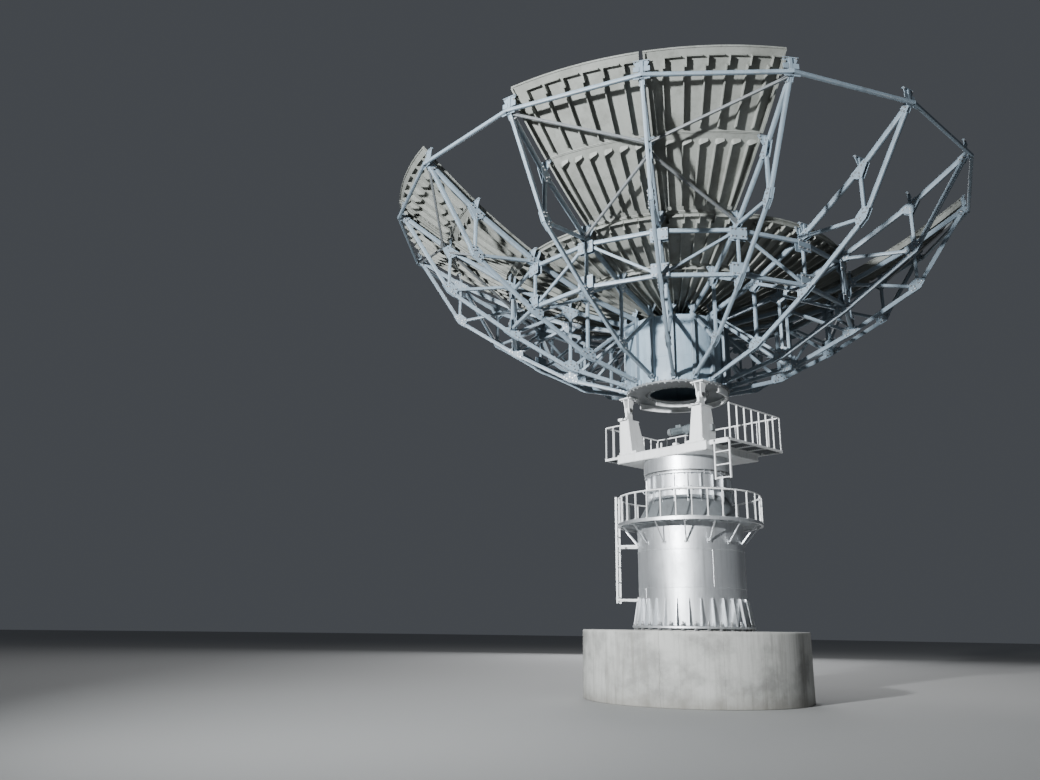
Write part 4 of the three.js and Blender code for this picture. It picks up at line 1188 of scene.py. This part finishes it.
def rib_bars():
    bars = [(a, b, 0.09) for a, b in zip(TOP_NODES, TOP_NODES[1:])]
    bars += [(a, b, 0.08) for a, b in zip(LOW_NODES, LOW_NODES[1:])]
    return bars + [(a, b, 0.06) for a, b in WEBS]


def bars_at(node_place):
    """The way along each bar that meets at a node of the rib, and the bar's height."""
    ways = []
    for start, end, height in rib_bars():
        for here, there in ((start, end), (end, start)):
            if (here - node_place).length < 0.001:
                ways.append(((there - here).normalized(), height))
    return ways


def gusset_outline(at, reach):
    """The hull of the ends of the bars that meet at a node, in the rib's plane."""
    corners = []
    for along, height in bars_at(at):
        across = Vector((-along.z, 0, along.x)) * (height / 2 + 0.006)
        for side in (-1, 1):
            for far in (0.0, reach):
                point = at + along * far + across * side
                corners.append((point.x, point.z))
    return [corners[i] for i in geometry.convex_hull_2d(corners)]


def saddle_top(radius, inset):
    """The height of the panels' underside, which is flat between the rings of its mesh."""
    at = radius - 0.025 + inset * tan(STEP / 4)
    rows = ((0.495, 1.4, INNER_R - 0.005), (INNER_R, 2.85, RING_R - 0.005),
            (RING_R + 0.005, 4.1, MID_R, 5.3, EDGE_R))
    row = next(r for r in rows if at < r[-1])
    i = next(k for k, r in enumerate(row) if r > at)
    share = (at - row[i - 1]) / (row[i] - row[i - 1])
    return surface_z(row[i - 1]) * (1 - share) + surface_z(row[i]) * share - GAP


RIB_NODES = TOP_NODES[1:] + LOW_NODES[:-1]
SADDLES = [(ROOT_R + 0.04, 0.0), (INNER_R, 0.0), (RING_R - 0.04, 0.0), (RING_R + 0.06, SHARED_INSET),
           (MID_R, SHARED_INSET), (TIP_R - 0.04, SHARED_INSET)]


def rib_shape():
    rib = Shape()
    for start, end, height in rib_bars():
        rib.section(start, end, 0.06, height, 0.01)
    foot, head = ROOT_LOW - 0.06, chord_z(ROOT_R) + 0.05
    rib.block((HUB_R + GAP, -POST_HALF, foot), (HUB_R + 0.08, POST_HALF, head), 0.005)
    tip = chord_z(TIP_R)
    rib.block((TIP_R - 0.055, -0.03, tip - 0.11), (TIP_R, 0.03, tip + 0.012), 0.004)
    for at in RIB_NODES:
        reach = 0.14 if at is TOP_NODES[-1] else 0.22 if at.x == RING_R else 0.17
        outline = [(max(x, HUB_R + 0.004), z) for x, z in gusset_outline(at, reach)]
        for y in (-0.0345, 0.0345):
            rib.upright(outline, 0.01, Matrix.Translation((0, y, 0)))
    for radius, inset in SADDLES:
        top = saddle_top(radius, inset)
        low = chord_z(radius)
        rib.block((radius - 0.023, -0.028, low), (radius + 0.023, 0.028, top - 0.012), 0.003)
        rib.block((radius - 0.025, -0.13, top - 0.012), (radius + 0.025, 0.13, top), 0.002)
        half = [(POST_HALF, low + 0.03), (0.12, top - 0.03), (0.12, top - 0.01)]
        wing = [(-y, z) for y, z in half[::-1]] + half
        rib.upright(wing, 0.01, Matrix.Translation((radius, 0, 0)) @ turn_z(pi / 2))
    for side in (-1, 1):
        near, far = side * POST_HALF, side * 0.13
        rib.block((TIP_R - 0.012, near, tip - 0.125), (TIP_R, far, tip - 0.02), 0.002)
        rib.block((TIP_R - 0.03, near, tip + 0.025), (TIP_R - 0.02, far, tip + 0.11), 0.002)
    return rib


def bay_brace(first):
    """The two braces of one bay, with their flattened ends, the bay's own rib at angle 0."""
    outer, shared = (0.0, STEP) if first else (STEP, 0.0)
    rise = 0.045
    high = spot(MID_R + 0.15, shared, chord_z(MID_R + 0.15) - rise)
    low = spot(MID_R, shared, chord_z(MID_R) - rise)
    tip = spot(TIP_R - 0.05, outer, chord_z(TIP_R - 0.05) - rise)
    ring = spot(RING_R + 0.07, outer, chord_z(RING_R) + 0.01)
    brace = Shape()
    for start, end in ((high, tip), (low, ring)):
        along = (end - start).normalized()
        brace.section(start + along * 0.045, end - along * 0.045, 0.045, 0.045, 0.008)
        for point, way in ((start, along), (end, -along)):
            side = UP.cross(way).normalized()
            flat = way.cross(side)
            widths = ((0.0, 0.055), (0.1, 0.05), (0.21, 0.024))
            stations = [(point + way * far, side * wide, flat) for far, wide in widths]
            brace.sweep(rectangle(-1, 1, -0.005, 0.005), stations)
    return brace


def rib_bolts():
    """Places and directions of the bolts of one rib."""
    points = []
    for at in RIB_NODES:
        for along, _ in bars_at(at):
            for y in (-1, 1):
                for far in (0.075, 0.14):
                    place = at + along * far
                    if place.x > HUB_R + 0.03:
                        points.append((place + Vector((0, y * 0.0395, 0)), Vector((0, y, 0))))
    for radius, inset in SADDLES:
        for y in (-0.1, 0.1):
            points.append((Vector((radius + 0.012, y, saddle_top(radius, inset) - 0.012)), DOWN))
    for y in (-0.105, -0.06, 0.06, 0.105):
        points.append((Vector((TIP_R - 0.012, y, chord_z(TIP_R) - 0.075)), Vector((-1, 0, 0))))
    return points


def make_ribs():
    base = rib_shape()
    braces = Shape()
    for i in range(BAYS):
        angle = FIRST_RIB + i * STEP
        name = "%02d" % (i + 1)
        place = DISH_PLACE @ turn_z(angle)
        shaped("rib_frame_" + name, base, "dish", "truss_paint", "rib_" + name, place=place)
        if i in FITTED:
            braces.join(bay_brace(i in PAIRS), turn_z(angle))
    # The braces get the dark grey paint: partly a duller finish than the ribs, partly painted shade standing
    # in for the shade on their faces.
    shaped("bay_braces", braces, "dish", "truss_paint", place=DISH_PLACE, material=GREY)
    mesh = aimed_mesh("rib_bolt", rib_bolts())
    one = FASTENERS.grow(mesh, ZINC, Head=0.024, Rise=0.014, Washer=0.034, Stud=0.0)
    for half in (0, 1):
        start = FIRST_RIB + half * pi
        grown = FAN.grow(one, ZINC, DISH_PLACE, Count=BAYS // 2, Step=STEP, Start=start)
        finished("rib_bolts_%d" % (half + 1), grown, "dish", "steel", material=ZINC)


def make_rim():
    half = 0.03
    radius = TIP_R + 0.03 * tan(STEP / 2) + GAP + half
    z = chord_z(TIP_R) - 0.045 - half
    rim = Shape()
    for i in range(BAYS):
        start, end = (spot(radius, FIRST_RIB + (i + k) * STEP, z) for k in (0, 1))
        rim.section(start, end, 2 * half, 2 * half, 0.012, 0.012)
    shaped("rim_tubes", rim, "dish", "truss_paint", "rim_ring", place=DISH_PLACE)


def make_ring_truss():
    top = chord_z(RING_R) - 0.0637
    foot = RING_LOW + 0.0711
    half = 0.035
    truss = Shape()
    bolts = []
    for i in range(BAYS):
        a, b = FIRST_RIB + i * STEP, FIRST_RIB + (i + 1) * STEP
        for z in (top - half, foot + half):
            truss.section(spot(RING_R, a, z), spot(RING_R, b, z), 2 * half, 2 * half, 0.012, 0.006)
        low, high = (foot + half, top - half) if i % 2 else (top - half, foot + half)
        truss.section(spot(RING_R, a, low), spot(RING_R, b, high), 0.05, 0.05, 0.01)
        outward = spot(1, a, 0)
        truss.section(spot(RING_R, a, foot), spot(RING_R, a, top), 0.054, 0.054, 0.01, up=outward)
        for z0, z1 in ((foot - 0.004, foot + 0.24), (top - 0.22, top + 0.004)):
            for out in (RING_R - half - 0.012, RING_R + half + 0.002):
                truss.block((out, -0.155, z0), (out + 0.01, 0.155, z1), 0.002, turn_z(a))
        for z in (foot + half, foot + 0.19, top - half, top - 0.17):
            for y in (-0.125, -0.06, 0.06, 0.125):
                across = spot(1, a + pi / 2, 0)
                bolts.append((spot(RING_R + half + 0.012, a, z) + across * y, outward))
    shaped("ring_frame", truss, "dish", "truss_paint", "ring_truss", place=DISH_PLACE)
    bolted("ring_frame_bolts", bolts, "dish", 0.024, 0.014, place=DISH_PLACE)


# Reflector panels
def side_angles(radius, sides):
    """Where the two sides of a panel lie, each set in from its rib's middle plane."""
    return asin(sides[0] / radius), STEP - asin(sides[1] / radius)


def skin_shape(radii, parts, sides):
    """A thin curved sheet over the surface of one bay."""
    wide = parts + 1
    upper = []
    for r in radii:
        upper += [spot(r, a, surface_z(r) + PANEL_THICK) for a in spaced(*side_angles(r, sides), wide)]
    lower = [point - UP * SKIN for point in upper]
    count = len(upper)
    faces = []
    for i in range(len(radii) - 1):
        a, b = i * wide, (i + 1) * wide
        for j in range(parts):
            faces.append([a + j, b + j, b + j + 1, a + j + 1])
            faces.append([count + a + j, count + a + j + 1, count + b + j + 1, count + b + j])
        faces.append([a, count + a, count + b, b])
        faces.append([a + parts, b + parts, count + b + parts, count + a + parts])
    last = (len(radii) - 1) * wide
    for j in range(parts):
        faces.append([j, j + 1, count + j + 1, count + j])
        faces.append([last + j, count + last + j, count + last + j + 1, last + j + 1])
    return Shape().add(upper + lower, faces)


def follow(radii, angle, offset=0.0):
    """Stations along a line of the surface: the way across it, and up."""
    stations = []
    for r in radii:
        turn = angle + asin(offset / r)
        up = (UP - spot(1, turn, 0) * (r / (2 * SURFACE_FOCUS))).normalized()
        stations.append((spot(r, turn, back_z(r)), spot(1, turn + pi / 2, 0), up))
    return stations


def across_slope(radius, angles):
    """Stations along a circle of the surface: the way outwards along it, and its own up."""
    slope = radius / (2 * SURFACE_FOCUS)
    stations = []
    for angle in angles:
        outward = spot(1, angle, 0)
        side, up = (outward + UP * slope).normalized(), (UP - outward * slope).normalized()
        stations.append((spot(radius, angle, back_z(radius)), side, up))
    return stations


def flat_bar(thick, deep):
    return rectangle(-thick / 2, thick / 2, -deep, 0.0)


def stiffener(inner, outer, hooked):
    """A pressed Z section under the sheet, its outer end turned over or stepped into an edge angle."""
    shape = Shape()
    t, deep, flange = 0.005, 0.1, 0.014
    half, fold = t / 2, t - deep
    web = [(half, 0.0), (half, -t), (half, fold), (flange, fold), (flange, -deep), (-half, -deep),
           (-half, 0.0)]
    stations = follow([inner, inner + 0.05] + spaced(inner + 0.1, outer, 6), 0.0)
    shape.sweep(rectangle(-flange, 0.0, -t, 0.0), stations)
    if not hooked:
        centre, side, up = stations[0]
        shape.sweep(web, [(centre, side, up * 0.3), *stations[1:]])
        shift, length, end = 0.045, 0.24, outer + 0.11
        shape.sweep(flat_bar(t, deep), across_slope(outer, [-t / outer, (shift + t) / outer]))
        shape.sweep(flat_bar(t, deep), follow([outer, end], 0.0, shift))
        angles = [(shift + length * share) / outer for share in (0.0, 0.5, 1.0)]
        shape.sweep(flat_bar(t, 0.065), across_slope(end, angles))
        return shape
    shape.sweep(web, stations)
    shape.sweep(rectangle(-0.035, 0.045, -deep, fold), follow([inner, inner + 0.06], 0.0))
    reach = 0.05
    arc = []
    for angle in spaced(0, pi / 2, 7):
        x, y = outer + reach * sin(angle), reach * (1 - cos(angle))
        arc.append((Vector((x, y, back_z(hypot(x, y)))), Vector((-sin(angle), cos(angle), 0)), UP))
    end, across, _ = arc[-1]
    arc.append((end + Vector((0, 0.1, 0)), across, UP * 0.5))
    return shape.sweep(web, arc)


def side_beam(shape, radii, angle, offset, inward, deep):
    """A folded flange down one side of a panel."""
    t = 0.005
    half, lip, fold = inward * t / 2, inward * 0.03, t - deep
    outline = [(-half, 0.0), (-half, -deep), (lip, -deep), (lip, fold), (half, fold), (half, 0.0)]
    shape.sweep(outline, follow(radii, angle, offset))


def edge_beam(shape, radius, deep, sides):
    """A folded flange along the inner or outer end of a panel."""
    outline = rectangle(0.0, 0.005, -deep, 0.0)
    angles = spaced(*side_angles(radius, sides), 13)
    shape.sweep(outline, [(spot(radius, a, back_z(radius)), spot(1, a, 0), UP) for a in angles])


def inner_row(name, node_name, inner, outer, each):
    """A full ring of panels with the given number of stiffeners under each."""
    gap = 0.0025
    sheets = skin_shape(spaced(inner, outer, 9), 8, (gap, gap))
    for angle, offset, inward in ((0.0, gap + 0.004, 1), (STEP, -gap - 0.004, -1)):
        side_beam(sheets, spaced(inner + 0.01, outer - 0.01, 7), angle, offset, inward, 0.034)
    edge_beam(sheets, inner + 0.004, 0.014, (gap, gap))
    edge_beam(sheets, outer - 0.009, 0.014, (gap, gap))
    fanned(name, sheets, "dish", "panel_paint", BAYS, node_name, start=FIRST_RIB, place=DISH_PLACE)
    bar = stiffener(inner + 0.06, outer - 0.17, False)
    fanned(name + "_stiffeners", bar, "dish", "panel_paint", BAYS * each, start=FIRST_RIB + STEP / each / 2,
           place=DISH_PLACE)


def make_inner_panels():
    inner_row("lower_sheets", "inner_panels_lower", COVER_R + 0.005, INNER_R - 0.005, 4)
    inner_row("upper_sheets", "inner_panels_upper", INNER_R, RING_R - 0.005, 5)


def make_outer_panels():
    bars = stiffener(RING_R + 0.095, MID_R - 0.153, True)
    bars.join(stiffener(MID_R + 0.053, EDGE_R - 0.21, False))
    each = 6
    spread = (STEP - 0.05) / each
    rows = ((RING_R + 0.005, MID_R - 0.003, RING_R + 0.1, MID_R - 0.04),
            (MID_R + 0.003, EDGE_R, MID_R + 0.04, TIP_R - 0.08))
    for i in FITTED:
        first = i in PAIRS
        sides = (FREE_INSET, SHARED_INSET) if first else (SHARED_INSET, FREE_INSET)
        bay = Shape()
        for inner, outer, low, high in rows:
            bay.join(skin_shape(spaced(inner, outer, 9), 10, sides))
            for angle, offset, inward, free in (
                    (0.0, sides[0] + 0.004, 1, first), (STEP, -sides[1] - 0.004, -1, not first)):
                side_beam(bay, spaced(inner + 0.01, outer - 0.012, 9), angle, offset, inward, 0.034)
                side_beam(bay, spaced(low, high, 7), angle, offset, inward, 0.12 if free else 0.07)
            edge_beam(bay, inner + 0.004, 0.012, sides)
            edge_beam(bay, outer - 0.009, 0.012, sides)
        start = FIRST_RIB + i * STEP
        name = "outer_sheet_%02d" % (i + 1)
        place = DISH_PLACE @ turn_z(start)
        shaped(name, bay, "dish", "panel_paint", "outer_panels_%02d" % (i + 1), place=place)
        fanned(name + "_stiffeners", bars, "dish", "panel_paint", each, start=start + 0.025 + spread / 2,
               step=spread, place=DISH_PLACE)


make_plinth()
make_base_flange()
make_pedestal()
make_lower_platform()
make_lower_railing()
make_pedestal_ladder()
make_housing()
make_bearing()
make_yoke()
make_elevation_bearings()
make_drive()
make_upper_platform()
make_upper_railing()
make_hanging_ladder()
make_hub()
make_ribs()
make_rim()
make_ring_truss()
make_inner_panels()
make_outer_panels()


# Floor, light and camera
def make_floor():
    count = 96
    reach = 120.0
    mesh = bpy.data.meshes.new("studio_floor")
    points = [(x, y, -0.001) for x, y in circle(reach, count)]
    mesh.from_pydata(points, [], [list(range(count))])
    material, _, shader = started("studio_floor_matt")
    shader.inputs["Base Color"].default_value = (0.4, 0.4, 0.395, 1)
    shader.inputs["Roughness"].default_value = 0.9
    mesh.materials.append(material)
    put("studio_floor", mesh)


def make_light(name, place, target, size, power, tint=(1, 1, 1), spread=180.0):
    lamp = bpy.data.lights.new(name, "AREA")
    lamp.shape = "DISK"
    lamp.size = size
    lamp.energy = power
    lamp.color = tint
    lamp.spread = radians(spread)
    made = put(name, lamp)
    made.location = place
    made.rotation_euler = (Vector(target) - Vector(place)).to_track_quat("-Z", "Y").to_euler()


def make_world():
    world = bpy.data.worlds.new("studio_air")
    bpy.context.scene.world = world
    world.use_nodes = True
    back = world.node_tree.nodes["Background"]
    back.inputs["Color"].default_value = (0.72, 0.78, 0.88, 1)
    back.inputs["Strength"].default_value = 0.09


def make_camera():
    eye = Vector((10.418, -13.875, 1.281))
    ahead = Vector((-0.7186, 0.6419, 0.2675)).normalized()
    level = ahead.cross(UP).normalized()
    above = level.cross(ahead)
    roll = 0.014
    right = level * cos(roll) + above * sin(roll)
    up = above * cos(roll) - level * sin(roll)
    lens = bpy.data.cameras.new("photo_view")
    lens.sensor_fit = "HORIZONTAL"
    lens.sensor_width = 36.0
    lens.lens = 29.5
    lens.clip_end = 500.0
    made = put("photo_view", lens)
    rows = [(right[i], up[i], -ahead[i], eye[i]) for i in range(3)]
    made.matrix_world = Matrix((*rows, (0, 0, 0, 1)))
    bpy.context.scene.camera = made


make_floor()
make_world()
make_light("key_light", (3.8, -21.1, 6.9), (0, 0, 7.5), 0.9, 2700.0, (0.95, 0.98, 1.0), 84.0)
make_light("fill_light", (24.0, -14.0, 12.0), (0, 0, 6.0), 14.0, 200.0, (0.9, 0.95, 1.0))
make_light("top_light", (-6.0, 10.0, 24.0), (0, 0, 5.0), 16.0, 2600.0)
make_light("back_light", (-18.0, 20.0, 9.0), (0, 0, 6.0), 14.0, 2400.0, (0.95, 0.97, 1.0))
make_camera()
